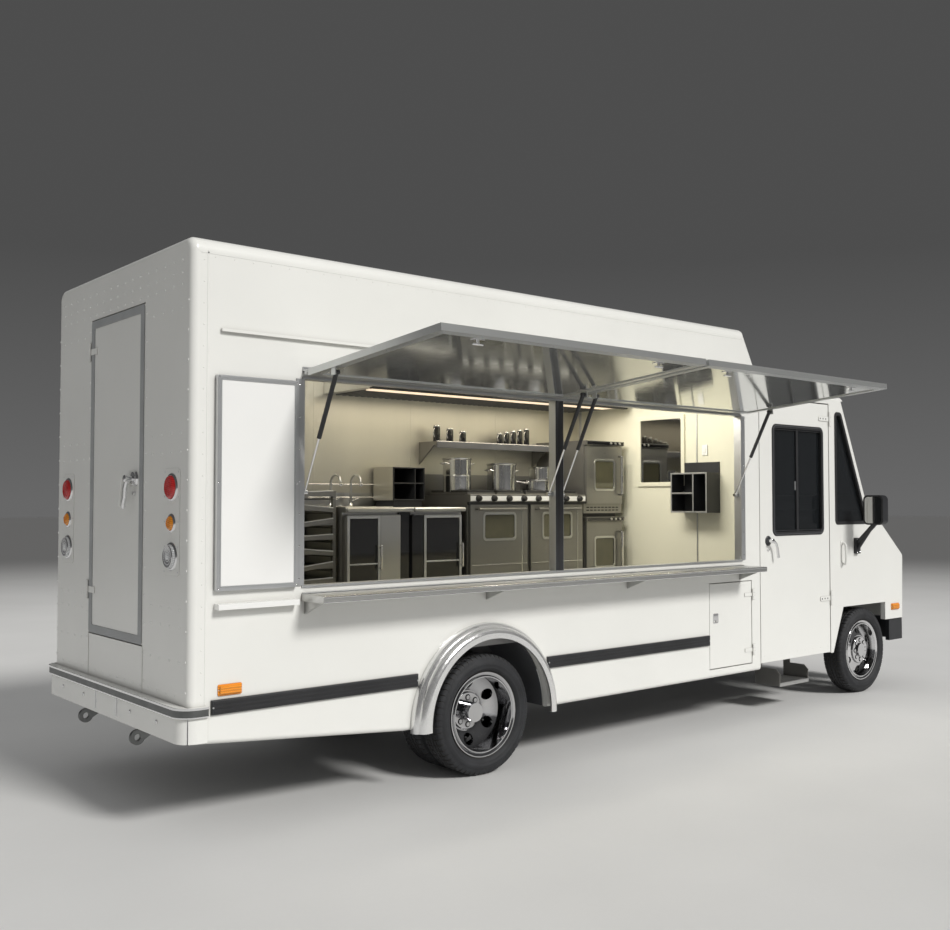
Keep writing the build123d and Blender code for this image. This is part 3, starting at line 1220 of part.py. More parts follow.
# Wheels, turned about Y with the outer face towards -Y
def tyre_face():
    """Half section of a tyre: (radius, y) with rounded shoulders and walls."""
    w, r, s = TYRE_WIDTH / 2, TYRE_RADIUS, TYRE_SHOULDER
    bead = BEAD_RADIUS
    seat = BEAD_SEAT
    flank = (RIM_RADIUS + 3, seat + 6)
    wall = (flank[0] + r) / 2
    lines = []
    for side in (-1, 1):
        lines.append(Line((bead, side * seat), (flank[0], side * flank[1])))
        crest = (r - s, side * (w - TYRE_CREST))
        round_off = (r - s * 0.22, side * (w - 2 * TYRE_CREST))
        lines.append(ThreePointArc((flank[0], side * flank[1]), (wall, side * w), crest))
        lines.append(ThreePointArc(crest, round_off, (r, side * (w - s))))
    lines.append(Line((r, -w + s), (r, w - s)))
    lines.append(Line((bead, -seat), (bead, seat)))
    return make_face(lines)


def make_tyre():
    return revolve(tyre_face(), axis=Axis.Y)


def rim_face(disc_y, dish):
    """Half section of a rim: barrel with ridged flanges and a dished disc. disc_y is the disc's outer plane."""
    seat = BEAD_SEAT
    r, b, t, step = RIM_RADIUS, BEAD_RADIUS - FIT, RIM_SHEET, RIM_RIDGE
    bore = SPINDLE_RADIUS + RUNNING
    barrel = Polyline((b, -seat), (b, seat), (b - t, seat), (b - t, -seat), close=True)
    face = make_face(barrel)
    for side in (-1, 1):
        crest = seat + t + step
        lip = [(b - t, seat - step), (b - t, crest), (b - t + step, crest), (b - t + 2 * step, seat + t),
               (r - step, crest), (r, crest), (r, seat + step), (b, seat + FIT), (b, seat - step)]
        face += make_face(Polyline(*[(radius, side * y) for radius, y in lip], close=True))
    flat = HUB_PLATE[0] + RIM_SHEET
    disc = Polyline((b - t + 1, disc_y - dish), (flat, disc_y), (bore, disc_y), (bore, disc_y + DISC_SHEET),
                    (flat, disc_y + DISC_SHEET), (b - t + 1, disc_y - dish + DISC_SHEET), close=True)
    return face + make_face(disc)


def on_circle(count, radius, turn):
    """Points (x, z) evenly round a wheel; turn is the first one's share of a step."""
    angles = [2 * math.pi * (i + turn) / count for i in range(count)]
    return [(radius * math.cos(a), radius * math.sin(a)) for a in angles]


def with_hub(rim, y):
    """Adds the raised plate on a disc's outer plane, with each nut in a recess, and cuts the hand holes."""
    radius, high = HUB_PLATE
    face = y - high
    plate = rod((0, face, 0), (0, y + 1, 0), radius)
    plate = fillet(plate.edges().sort_by(Axis.Y)[0], high / 3)
    plate -= rod((0, face - 1, 0), (0, y + 2, 0), SPINDLE_RADIUS + RUNNING)
    for x, z in on_circle(LUG_COUNT, LUG_CIRCLE, 0):
        plate -= rod((x, face - 1, z), (x, face + LUG_POCKET[1], z), LUG_POCKET[0])
        nut = Plane((x, face + LUG_POCKET[1] + 1, z), z_dir=(0, -1, 0)) * RegularPolygon(LUG_RADIUS, 6)
        plate += extrude(nut, LUG_POCKET[1] + LUG_NUT)
    for x, z in on_circle(HAND_HOLES, HAND_HOLE_CIRCLE, 0.5):
        rim -= rod((x, y - FAR, z), (x, y + FAR, z), HAND_HOLE_RADIUS)
    return rim + plate


LUG_NUT = 6.0             # nuts stand out of their recesses
FRONT_DISC = (-48.0, -30.0)       # outer plane of the front disc, and how far its edge lies inwards of that
FRONT_CAP = (62.0, 34.0)          # hub cap radius, and its height over the disc
FRONT_CAP_DEEP = 14.0             # the spindle ends under the cap
REAR_DISH = 46.0
REAR_CAP = (64.0, 120.0, 92.0)    # hub radius, its outer end and the end of its bore from the mating plane
REAR_HUB_IN = 90.0


def make_front_rim():
    """Right front wheel: the disc bulges to the outer flange, with a hub cap over the spindle."""
    disc_y, dish = FRONT_DISC
    rim = with_hub(revolve(rim_face(disc_y, dish), axis=Axis.Y), disc_y)
    radius, high = FRONT_CAP
    hub = rod((0, disc_y - high, 0), (0, disc_y + DISC_SHEET - 1, 0), radius)
    hub -= rod((0, disc_y - FRONT_CAP_DEEP, 0), (0, disc_y + DISC_SHEET, 0), SPINDLE_RADIUS + RUNNING)
    return rim + hub


def make_rear_rims():
    """Right twin wheels: two rims whose discs meet between the tyres, with a deep dish outside."""
    shift = (TYRE_WIDTH + DUAL_GAP) / 2
    disc_y = shift - DISC_SHEET
    outer = Pos(0, -shift, 0) * with_hub(revolve(rim_face(disc_y, REAR_DISH), axis=Axis.Y), disc_y)
    inner = mirrored(outer)
    radius, end, bore_end = REAR_CAP
    hub = rod((0, -end, 0), (0, REAR_HUB_IN, 0), radius)
    bore = rod((0, -bore_end, 0), (0, REAR_HUB_IN + 1, 0), SPINDLE_RADIUS + RUNNING)
    return outer + inner + hub - bore


def make_rear_tyres():
    shift = (TYRE_WIDTH + DUAL_GAP) / 2
    tyre = make_tyre()
    return Compound(children=[Pos(0, -shift, 0) * tyre, Pos(0, shift, 0) * tyre])


# Engine, gearbox, shaft and exhaust
def make_powertrain():
    engine = block(ENGINE_X, (-ENGINE_HALF, ENGINE_HALF), ENGINE_Z)
    long = (ENGINE_X[0] - 1, ENGINE_X[1] + 1)
    foot = RAIL_Z[0] + RAIL_SHEET + FIT
    at = (ENGINE_X[0] + MOUNT[0], ENGINE_X[0] + MOUNT[0] + MOUNT[1])
    for _, side in SIDES:
        flank = (side * (ENGINE_HALF - SUMP[0]), side * (ENGINE_HALF + 1))
        engine -= block(long, flank, (ENGINE_Z[0] - 1, SUMP[1]))
        y = (side * (ENGINE_HALF - 1), side * (RAIL_Y + RAIL_WIDTH / 2 - RAIL_SHEET - FIT))
        engine += block(at, y, (foot, foot + MOUNT[2]))
    box_end = ENGINE_X[0] - GEARBOX[1]
    gearbox = rod((box_end, 0, GEARBOX_Z), (ENGINE_X[0] + 1, 0, GEARBOX_Z), GEARBOX[0])
    shaft = rod((box_end + 5, 0, GEARBOX_Z), (REAR_AXLE_X + PINION + 10, 0, TYRE_RADIUS), SHAFT_RADIUS)
    return Compound(children=[engine + gearbox + shaft, make_exhaust()])


SUMP = (110.0, 640.0)             # the engine narrows by this much a side below this height
MOUNT = (300.0, 100.0, 70.0)      # engine mounts: from its rear end, length, height
GEARBOX = (120.0, 620.0)          # radius and length
GEARBOX_Z = 600.0
SHAFT_RADIUS = 42.0
EXHAUST_Y = -250.0
EXHAUST_Z = 560.0
EXHAUST_PIPE = 32.0
MUFFLER_AHEAD = 1560.0            # ahead of the rear axle
MUFFLER_LENGTH = 650.0
MUFFLER_X = (REAR_AXLE_X + MUFFLER_AHEAD, REAR_AXLE_X + MUFFLER_AHEAD + MUFFLER_LENGTH)
MUFFLER_RADIUS = 100.0
MUFFLER_ROUND = 20.0
HANG_STRAP = (15.0, 4.0)          # half length and half thickness of the exhaust's straps
TAIL_END_X = 90.0


def make_exhaust():
    """A straight run along the right rail with a muffler, hung from two cross members."""
    pipe = rod((TAIL_END_X, EXHAUST_Y, EXHAUST_Z), (ENGINE_X[0] + 40, EXHAUST_Y, EXHAUST_Z), EXHAUST_PIPE)
    can = rod((MUFFLER_X[0], EXHAUST_Y, EXHAUST_Z), (MUFFLER_X[1], EXHAUST_Y, EXHAUST_Z), MUFFLER_RADIUS)
    pipe += fillet(can.edges(), MUFFLER_ROUND)
    top = RAIL_Z[1] - RAIL_SHEET + 1 - CROSS_HEIGHT
    for x in (CROSS_X[1], CROSS_X[4]):
        long, thick = HANG_STRAP
        pipe += block((x - long, x + long), (EXHAUST_Y - thick, EXHAUST_Y + thick), (EXHAUST_Z, top - FIT))
    return pipe


TANK_AHEAD = 860.0                # ahead of the rear axle
TANK_LENGTH = 1200.0
TANK_CLEAR = 150.0                # inside the side wall
TANK_X = (REAR_AXLE_X + TANK_AHEAD, REAR_AXLE_X + TANK_AHEAD + TANK_LENGTH)
TANK_Z = (470.0, 790.0)
TANK_ROUND = 60.0
TANK_STRAP = (250.0, 25.0, 60.0, 80.0)    # from the tank's ends, half length, depth, above its foot


def make_fuel_tank():
    y0 = RAIL_Y + RAIL_WIDTH / 2 + FIT
    tank = block(TANK_X, (y0, INNER - TANK_CLEAR), TANK_Z)
    tank = fillet(tank.edges().filter_by(Axis.X), TANK_ROUND)
    end, half, deep, low = TANK_STRAP
    for x in (TANK_X[0] + end, TANK_X[1] - end):
        tank += block((x - half, x + half), (y0, y0 + deep), (TANK_Z[0] + low, TANK_Z[1]))
    return tank


# Cab fittings
SEAT_BACK = 1034.0                # behind the front axle
SEAT_LENGTH = 470.0
SEAT_X = (FRONT_AXLE_X - SEAT_BACK, FRONT_AXLE_X - SEAT_BACK + SEAT_LENGTH)
SEAT_Y = 560.0
SEAT_WIDE = 480.0
SEAT_TOP = 1390.0
SEAT_BACK_TOP = 2040.0
SEAT_PAD = 120.0
SEAT_ROUND = (35.0, 30.0)         # rounding of the cushion and of the back
SEAT_BASE_IN = (60.0, 70.0, 5.0)  # pedestal inside the cushion's ends and side, and clear of the step well
SEAT_LEAN = ((20.0, 130.0), (-90.0, 10.0))    # rear and front of the back at its foot, and at its top
SEAT_SINK = 40.0                  # the back starts this far below the cushion's top


def make_seat():
    """Driver's seat on a box pedestal."""
    y = (SEAT_Y - SEAT_WIDE / 2, SEAT_Y + SEAT_WIDE / 2)
    end, side, clear = SEAT_BASE_IN
    under = SEAT_TOP - SEAT_PAD
    base = block((SEAT_X[0] + end, SEAT_X[1] - end), (y[0] + side, STEP_WELL_Y - clear), (FLOOR_TOP, under + 1))
    pad = fillet(block(SEAT_X, y, (under, SEAT_TOP)).edges(), SEAT_ROUND[0])
    foot, top = [[SEAT_X[0] + x for x in pair] for pair in SEAT_LEAN]
    low = SEAT_TOP - SEAT_SINK
    shape = [(foot[0], low), (foot[1], low), (top[1], SEAT_BACK_TOP), (top[0], SEAT_BACK_TOP)]
    back = side_plate(shape, y)
    back = fillet(back.edges().filter_by(Axis.Y), SEAT_ROUND[1])
    return base + pad + back


DASH_BACK = 204.0                 # behind the front axle
DASH_UNDER = 108.0                # below the windscreen's foot
DASH_HEIGHT = 480.0
DASH_DEPTH = 300.0
DASH_BEVEL = (90.0, 120.0)
DASH_X = FRONT_AXLE_X - DASH_BACK
DASH_Z = (COWL_Z - DASH_UNDER - DASH_HEIGHT, COWL_Z - DASH_UNDER)
STEERING_AT = (230.0, 90.0)       # hub behind the dash and below its top
STEERING_LEAN = Vector(-0.80, 0, 0.60)
COLUMN = (28.0, 330.0)            # radius and length
SPOKE = (30.0, 14.0)
WHEEL_Y = SEAT_Y
STEERING_RADIUS = 205.0
STEERING_RIM = 15.0


def make_dashboard():
    """Dash across the cab, the steering column and wheel, and the engine cover between the seats."""
    low, high = DASH_Z
    end = DASH_X + DASH_DEPTH
    bevel = [(DASH_X, high - DASH_BEVEL[1]), (DASH_X + DASH_BEVEL[0], high)]
    shape = [(DASH_X, low), *bevel, (end, high), (end, low)]
    dash = side_plate(shape, (-INNER + FIT, INNER - FIT))
    plane = Plane((DASH_X - STEERING_AT[0], WHEEL_Y, high - STEERING_AT[1]), z_dir=STEERING_LEAN)
    column = extrude(plane * Circle(COLUMN[0]), -COLUMN[1])
    ring = plane.location * Torus(STEERING_RADIUS, STEERING_RIM)
    dash += column + ring
    for size in ((2 * STEERING_RADIUS, *SPOKE), (SPOKE[0], 2 * STEERING_RADIUS, SPOKE[1])):
        dash += plane.location * Box(*size)
    gap, sheet = COVER_GAP, COVER_SHEET
    rear = ENGINE_X[0] - gap
    reach = ENGINE_HALF + gap
    high = ENGINE_Z[1] + gap
    cover = block((rear - sheet, FLOOR_FRONT_X), (-reach - sheet, reach + sheet), (FLOOR_TOP, high + sheet))
    cover -= block((rear, FLOOR_FRONT_X + 1), (-reach, reach), (FLOOR_TOP - 1, high))
    return Compound(children=[dash, cover])


# Kitchen fittings along the left wall
LINE_DEEP = 640.0
LINE_Y = (INNER - LINE_DEEP, INNER - FIT)
OVEN_CLEAR = 88.0         # stacked ovens from the partition
OVEN_WIDE = 520.0
RANGE_CLEAR = 20.0        # range from the ovens
RANGE_WIDE = 1393.0
OVEN_X = (PARTITION_X - OVEN_CLEAR - OVEN_WIDE, PARTITION_X - OVEN_CLEAR)
RANGE_X = (OVEN_X[0] - RANGE_CLEAR - RANGE_WIDE, OVEN_X[0] - RANGE_CLEAR)
RANGE_TOP = 1900.0
RANGE_DOOR_Z = (1200.0, 1820.0)
RANGE_WINDOW = (340.0, 205.0, 120.0)      # width, height, above the door's middle
RANGE_DOOR_IN = 20.0
KNOBS = 8
KNOB = (20.0, 26.0)
BURNERS = 4
BURNER_HIGH = 25.0
BURNER_GAP = 30.0
SPLASH = (40.0, 190.0)    # sheet and height of the splashback
VENTS = 4
VENT = (14.0, 12.0, 34.0)     # height, depth, pitch
VENT_FOOT = 1045.0
VENT_END = 90.0
LEG = 100.0
LEG_RADIUS = 22.0
LEG_IN = 60.0
OVEN_HANDLE = (12.0, 9.0, 40.0)   # radius of the bar and of its posts, and how far it stands off
HANDLE_IN = (45.0, 90.0)          # an upright bar from the door's side, and its ends
HANDLE_DOWN = (60.0, 40.0)        # a level bar's ends, and how far below the door's top
PANE = (8.0, 20.0)                # recess and corner of a door's window
OVEN_DOORS = 2
DOOR_PROUD = 26.0
BAND = (1842.0, 1902.0)
BAND_OUT = 45.0


def oven_front(x, z, y, window, handle_up):
    """An oven door standing proud of its cabinet, with a recessed window and a bar handle."""
    door = block(x, (y - DOOR_PROUD, y + 1), z)
    wide, high, lift = window
    mid = (x[0] + x[1]) / 2
    centre = (z[0] + z[1]) / 2 + lift
    door -= side_window((mid - wide / 2, mid + wide / 2), (centre - high / 2, centre + high / 2),
                        (y - DOOR_PROUD - 1, y - DOOR_PROUD + PANE[0]), PANE[1])
    bar, post, off = OVEN_HANDLE
    out = y - DOOR_PROUD - off
    if handle_up:
        at = x[1] - HANDLE_IN[0]
        ends = [(at, z[0] + HANDLE_IN[1]), (at, z[1] - HANDLE_IN[1])]
    else:
        high = z[1] - HANDLE_DOWN[1]
        ends = [(x[0] + HANDLE_DOWN[0], high), (x[1] - HANDLE_DOWN[0], high)]
    door += rod((ends[0][0], out, ends[0][1]), (ends[1][0], out, ends[1][1]), bar)
    for at in ends:
        door += rod((at[0], out, at[1]), (at[0], y - DOOR_PROUD + 1, at[1]), post)
    return door


def legs(x, y):
    """Four short legs under a cabinet."""
    feet = []
    for lx in (x[0] + LEG_IN, x[1] - LEG_IN):
        for ly in (y[0] + LEG_IN, y[1] - LEG_IN):
            feet.append(rod((lx, ly, FLOOR_TOP), (lx, ly, FLOOR_TOP + LEG + 1), LEG_RADIUS))
    return feet


OVEN_STACK = ((1000.0, 1700.0), (1735.0, 2417.0))
OVEN_WINDOW = (250.0, 260.0, 0.0)
OVEN_DOOR_IN = (15.0, 90.0, 50.0)         # inside the oven's sides, its foot and its top
OVEN_BROW = 40.0                          # lip over an oven's door, high and deep
OVEN_NECK = (20.0, 60.0)                  # filler between the two, inside their sides and front


def make_cooking_line():
    """A two-oven range with a cooktop and knobs, and beside it two stacked ovens."""
    y = LINE_Y
    front = y[0]
    body = block(RANGE_X, y, (FLOOR_TOP + LEG, RANGE_TOP))
    body += block(RANGE_X, (front - BAND_OUT, front + 1), BAND)
    wide = (RANGE_X[1] - RANGE_X[0]) / OVEN_DOORS
    high, deep, pitch = VENT
    for i in range(OVEN_DOORS):
        left = RANGE_X[0] + i * wide
        x = (left + RANGE_DOOR_IN, left + wide - RANGE_DOOR_IN)
        body += oven_front(x, RANGE_DOOR_Z, front, RANGE_WINDOW, False)
        for k in range(VENTS):
            low = VENT_FOOT + k * pitch
            slot = (left + VENT_END, left + wide - VENT_END)
            body -= block(slot, (front - 1, front + deep), (low, low + high))
    for i in range(KNOBS):
        x = RANGE_X[0] + (RANGE_X[1] - RANGE_X[0]) * (i + 0.5) / KNOBS
        knob_y = front - BAND_OUT
        body += rod((x, knob_y - KNOB[1] + 1, sum(BAND) / 2), (x, knob_y + 1, sum(BAND) / 2), KNOB[0])
    step = (RANGE_X[1] - RANGE_X[0] - BURNER_GAP) / BURNERS
    grate_y = (front + BURNER_GAP, y[1] - 2 * SPLASH[0])
    for i in range(BURNERS):
        x = RANGE_X[0] + BURNER_GAP + i * step
        body += block((x, x + step - BURNER_GAP), grate_y, (RANGE_TOP - 1, RANGE_TOP + BURNER_HIGH))
    for foot in legs(RANGE_X, y):
        body += foot
    splash = block(RANGE_X, (y[1] - SPLASH[0], y[1]), (RANGE_TOP + FIT, RANGE_TOP + SPLASH[1]))
    stack = None
    side, low, high = OVEN_DOOR_IN
    for z in OVEN_STACK:
        oven = block(OVEN_X, y, z)
        door_x = (OVEN_X[0] + side, OVEN_X[1] - side)
        oven += oven_front(door_x, (z[0] + low, z[1] - high), front, OVEN_WINDOW, True)
        oven += block(OVEN_X, (front - OVEN_BROW, front + 1), (z[1] - OVEN_BROW, z[1]))
        stack = oven if stack is None else stack + oven
    neck_x = (OVEN_X[0] + OVEN_NECK[0], OVEN_X[1] - OVEN_NECK[0])
    stack += block(neck_x, (front + OVEN_NECK[1], y[1]), (OVEN_STACK[0][1] - 1, OVEN_STACK[1][0] + 1))
    for foot in legs(OVEN_X, y):
        stack += foot
    return Compound(children=[body, splash, stack])


SINK_CLEAR = 33.0         # sink counter from the range
SINK_WIDE = 1193.0
SINK_X = (RANGE_X[0] - SINK_CLEAR - SINK_WIDE, RANGE_X[0] - SINK_CLEAR)
HOOD_CLEAR = 80.0         # hood from the partition
HOOD_REAR = 197.0         # its rear end ahead of the sink counter's
HOOD_OVER = 80.0          # beyond the cabinets' fronts
HOOD_DROP = 274.0         # below the roof
HOOD_HEIGHT = 315.0
HOOD_LIP = 70.0
HOOD_LEAN = 260.0
HOOD_X = (SINK_X[0] + HOOD_REAR, PARTITION_X - HOOD_CLEAR)
HOOD_Y = LINE_Y[0] - HOOD_OVER
HOOD_Z = (ROOF_TOP - HOOD_DROP - HOOD_HEIGHT, ROOF_TOP - HOOD_DROP)


def make_hood():
    """Canopy over the cooking line, closed below by its filters."""
    y1 = LINE_Y[1]
    low, high = HOOD_Z
    shape = [(HOOD_Y, low), (y1, low), (y1, high), (HOOD_Y + HOOD_LEAN, high), (HOOD_Y, low + HOOD_LIP)]
    return end_plate(shape, HOOD_X)


SHELF_BACK = (29.0, 32.0)         # its ends behind the range's
SHELF_X = (RANGE_X[0] - SHELF_BACK[0], RANGE_X[1] - SHELF_BACK[1])
SHELF_DEEP = 260.0
SHELF_Z = 2375.0
SHELF_SHEET = 30.0
SHELF_BRACKET = (12.0, 200.0)     # sheet and height


def make_wall_shelf():
    y1 = LINE_Y[1]
    shelf = block(SHELF_X, (y1 - SHELF_DEEP, y1), (SHELF_Z - SHELF_SHEET, SHELF_Z))
    sheet, high = SHELF_BRACKET
    for x in (SHELF_X[0], SHELF_X[1] - sheet):
        shape = [(y1, SHELF_Z - 1), (y1 - SHELF_DEEP, SHELF_Z - 1), (y1, SHELF_Z - high)]
        shelf += end_plate(shape, (x, x + sheet))
    return shelf


SINK_TOP = 1800.0
WORKTOP = 40.0
WORKTOP_OVER = 20.0       # worktop beyond the cabinets' fronts
WORKTOP_NOSE = 14.0       # rounding of its front edge
BOWL_AT = (87.0, 100.0)   # bowl from the counter's rear end, and from the cabinets' fronts
BOWL_SIZE = (440.0, 380.0)
BOWL_X = (SINK_X[0] + BOWL_AT[0], SINK_X[0] + BOWL_AT[0] + BOWL_SIZE[0])
BOWL_Y = (LINE_Y[0] + BOWL_AT[1], LINE_Y[0] + BOWL_AT[1] + BOWL_SIZE[1])
BOWL_DEEP = 190.0
TAP_RADIUS = 11.0
TAP_BACK = 70.0           # taps behind the bowl
TAP_HIGH = 190.0
TAP_BEND = 75.0
TAP_SHARES = (0.3, 0.75)  # along the bowl
CABINET_AT = (32.0, 667.0)        # cabinets from the counter's rear end
CABINET_WIDE = 495.0
CABINET_FRONT = 40.0              # depth of their door frames
CABINET_PANE = (35.0, 90.0, 110.0, 18.0)  # inside the sides, above the foot, below the worktop's top, recess
UPSTAND = (20.0, 120.0)


def make_tap(x):
    """A swan-neck tap behind the bowl."""
    y = BOWL_Y[1] + TAP_BACK
    z = SINK_TOP + TAP_HIGH
    stem = rod((x, y, SINK_TOP + FIT), (x, y, z), TAP_RADIUS)
    hoop = revolve(Plane((x, y, z), z_dir=(0, 0, 1)) * Circle(TAP_RADIUS),
                   axis=Axis((x, y - TAP_BEND, z), (1, 0, 0)), revolution_arc=170)
    return stem + hoop


def make_sink_counter():
    """Worktop with a bowl over two glass-fronted cabinets, and its taps."""
    y = LINE_Y
    foot = FLOOR_TOP + LEG
    under = SINK_TOP - WORKTOP
    top = block(SINK_X, (y[0] - WORKTOP_OVER, y[1]), (under, SINK_TOP))
    top = fillet(top.edges().filter_by(Axis.X).group_by(Axis.Y)[0], WORKTOP_NOSE)
    top += block(SINK_X, (y[0] + CABINET_FRONT, y[1]), (foot, under + 1))
    side, low, high, recess = CABINET_PANE
    for at in CABINET_AT:
        x = (SINK_X[0] + at, SINK_X[0] + at + CABINET_WIDE)
        top += block(x, (y[0], y[0] + CABINET_FRONT + 1), (foot, under - WORKTOP_OVER))
        top -= block((x[0] + side, x[1] - side), (y[0] - 1, y[0] + recess), (foot + low, SINK_TOP - high))
    top += block(SINK_X, (y[1] - UPSTAND[0], y[1]), (SINK_TOP - 1, SINK_TOP + UPSTAND[1]))
    top -= block(BOWL_X, BOWL_Y, (SINK_TOP - BOWL_DEEP, SINK_TOP + 1))
    for leg in legs(SINK_X, y):
        top += leg
    taps = [make_tap(BOWL_X[0] + BOWL_SIZE[0] * share) for share in TAP_SHARES]
    return Compound(children=[top, *taps])


RACK_CLEAR = 18.0         # rack from the sink counter
RACK_WIDE = 380.0
RACK_WALL = 20.0          # from the left wall
RACK_DEEP = 520.0
RACK_X = (SINK_X[0] - RACK_CLEAR - RACK_WIDE, SINK_X[0] - RACK_CLEAR)
RACK_Y = (INNER - RACK_WALL - RACK_DEEP, INNER - RACK_WALL)
RACK_TOP = 1915.0
TRAY_FOOT = 90.0          # first tray above the floor
TRAY_HEAD = 30.0          # last tray's foot below the rack's top
RACK_POST = 28.0
TRAYS = 9
TRAY = 26.0


def make_pan_rack():
    """Four posts with trays between them."""
    pieces = []
    for x in (RACK_X[0], RACK_X[1] - RACK_POST):
        for y in (RACK_Y[0], RACK_Y[1] - RACK_POST):
            pieces.append(block((x, x + RACK_POST), (y, y + RACK_POST), (FLOOR_TOP, RACK_TOP)))
    inner = RACK_POST + FIT
    pitch = (RACK_TOP - TRAY_HEAD - FLOOR_TOP - TRAY_FOOT) / (TRAYS - 1)
    for i in range(TRAYS):
        z = FLOOR_TOP + TRAY_FOOT + i * pitch
        pieces.append(block((RACK_X[0] + inner, RACK_X[1] - inner), RACK_Y, (z, z + TRAY)))
    return Compound(children=pieces)


ORGANISER_Y = (-720.0, -315.0)
ORGANISER_Z = (1745.0, 2200.0)
ORGANISER_DEEP = 190.0
ORGANISER_SPLIT = 0.36    # upright board's share of the width
ORGANISER_LOW = 60.0      # middle board below half height
ORGANISER_OPEN = 110.0    # open top above the upper board
PANEL = 14.0


def make_organiser():
    """Open pigeonholes hung on the partition, as a row of boards."""
    x1 = PARTITION_X - FIT
    x0 = x1 - ORGANISER_DEEP
    y0, y1 = ORGANISER_Y
    z0, z1 = ORGANISER_Z
    split = y0 + (y1 - y0) * ORGANISER_SPLIT
    middle = (z0 + z1) / 2 - ORGANISER_LOW
    top = z1 - ORGANISER_OPEN
    boards = [
        block((x1 - PANEL, x1), (y0, y1), (z0, z1)),
        block((x0, x1 - PANEL - FIT), (y0, y1), (z0, z0 + PANEL)),
        block((x0, x1 - PANEL - FIT), (y0, y1), (top, top + PANEL)),
    ]
    for y in (y0, split, y1 - PANEL):
        boards.append(block((x0, x1 - PANEL - FIT), (y, y + PANEL), (z0 + PANEL + FIT, top - FIT)))
    shelf_y = (split + PANEL + FIT, y1 - PANEL - FIT)
    boards.append(block((x0, x1 - PANEL - FIT), shelf_y, (middle, middle + PANEL)))
    return Compound(children=boards)


COOKTOP = RANGE_TOP + BURNER_HIGH + FIT
POTS = (                  # from the range's rear end, from its front, radius, height
    (151.0, 320.0, 125.0, 290.0),
    (621.0, 260.0, 130.0, 250.0),
    (1051.0, 260.0, 150.0, 110.0),
)
POT_LID = (12.0, 8.0)     # lid's height, and its edge beyond the pot
TALL_JARS = (150.0, 130.0, 110.0)                 # heights
SMALL_JARS = (110.0, 124.0, 138.0, 152.0, 166.0)
JARS = (                  # first from the shelf's rear end, pitch, radius, heights
    (100.0, 150.0, 32.0, TALL_JARS),
    (850.0, 85.0, 28.0, SMALL_JARS),
)


def make_cookware():
    """Lidded pots on the cooktop and jars on the wall shelf."""
    pieces = []
    for along, deep, radius, height in POTS:
        x, y = RANGE_X[0] + along, LINE_Y[0] + deep
        lid = COOKTOP + height
        pot = rod((x, y, COOKTOP), (x, y, lid), radius)
        pieces.append(pot + rod((x, y, lid - 1), (x, y, lid + POT_LID[0]), radius + POT_LID[1]))
    y = LINE_Y[1] - SHELF_DEEP / 2
    z = SHELF_Z + FIT
    for first, pitch, radius, heights in JARS:
        for i, height in enumerate(heights):
            x = SHELF_X[0] + first + i * pitch
            pieces.append(rod((x, y, z), (x, y, z + height), radius))
    return Compound(children=pieces)


def build():
    """Every piece by its node name, in the vehicle frame."""
    rear_wheel = Pos(REAR_AXLE_X, -rear_hub_y(), TYRE_RADIUS)
    front_wheel = Pos(FRONT_AXLE_X, -front_hub_y(), TYRE_RADIUS)
    lamps = make_lamps()
    spans = hatch_spans()
    made = {
        "frame_rails": make_frame(),
        "tow_eyes": make_tow_eyes(),
        "front_axle": make_front_axle(),
        "rear_axle": make_rear_axle(),
        "powertrain": make_powertrain(),
        "fuel_tank": make_fuel_tank(),
        "floor": make_floor(),
        "right_wall": make_side_wall(-1),
        "left_wall": make_side_wall(1),
        "rear_wall": make_rear_wall(),
        "roof": make_roof(),
        "partition": make_partition(),
        "cab_roof": make_cab_roof(),
        "cab_sides": both_sides(make_cab_side()),
        "cab_front": make_cab_front(),
        "fixed_glass": make_fixed_glass(),
        "grille": make_grille(),
        "rear_bumper": make_rear_bumper(),
        "front_bumper": make_front_bumper(),
        "wheel_flares": both_sides(make_flare()),
        "rub_rails": make_rub_rails(),
        "counter": make_counter(),
        "window_frame": make_window_frame(),
        "menu_board": make_menu_board(),
        "red_lamps": lamps["red"],
        "amber_lamps": lamps["amber"],
        "clear_lamps": lamps["clear"],
        "mirrors": both_sides(make_mirror()),
        "entry_steps": both_sides(make_step()),
        "driver_seat": make_seat(),
        "dashboard": make_dashboard(),
        "cooking_line": make_cooking_line(),
        "hood": make_hood(),
        "wall_shelf": make_wall_shelf(),
        "sink_counter": make_sink_counter(),
        "pan_rack": make_pan_rack(),
        "organiser": make_organiser(),
        "cookware": make_cookware(),
        "rear_door": make_rear_door(),
        "access_door": make_access_door(),
    }
    for name, span in spans.items():
        made[f"hatch_{name}"] = make_hatch(span)
        made[f"strut_cylinders_{name}"] = make_cylinders(span)
        made[f"strut_rods_{name}"] = make_rods(span)
    right = {
        "door": make_cab_door(),
        "door_glass": make_cab_glass(),
        "knuckle": make_knuckle(),
        "front_tyre": front_wheel * make_tyre(),
        "front_rim": front_wheel * make_front_rim(),
        "rear_tyres": rear_wheel * make_rear_tyres(),
        "rear_rims": rear_wheel * make_rear_rims(),
    }
    for name, shape in right.items():
        made[f"right_{name}"] = shape
        made[f"left_{name}"] = mirrored(shape)
    return made


nodes = build()
whole = Compound(children=[Compound(children=shape.solids()) for shape in nodes.values()]).bounding_box()
ORIGIN = Pos(-whole.center().X, -whole.center().Y, -whole.min.Z)

os.makedirs("parts", exist_ok=True)
for node, shape in nodes.items():
    solids = [ORIGIN * solid for solid in shape.solids()]
    placed = solids[0] if len(solids) == 1 else Compound(children=solids)
    export_step(placed, f"parts/{node}.step")
print(len(nodes), "nodes,", "box", whole.size, "origin at", whole.center(), whole.min.Z)
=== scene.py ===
import json
import math

import bpy
from mathutils import Matrix, Vector


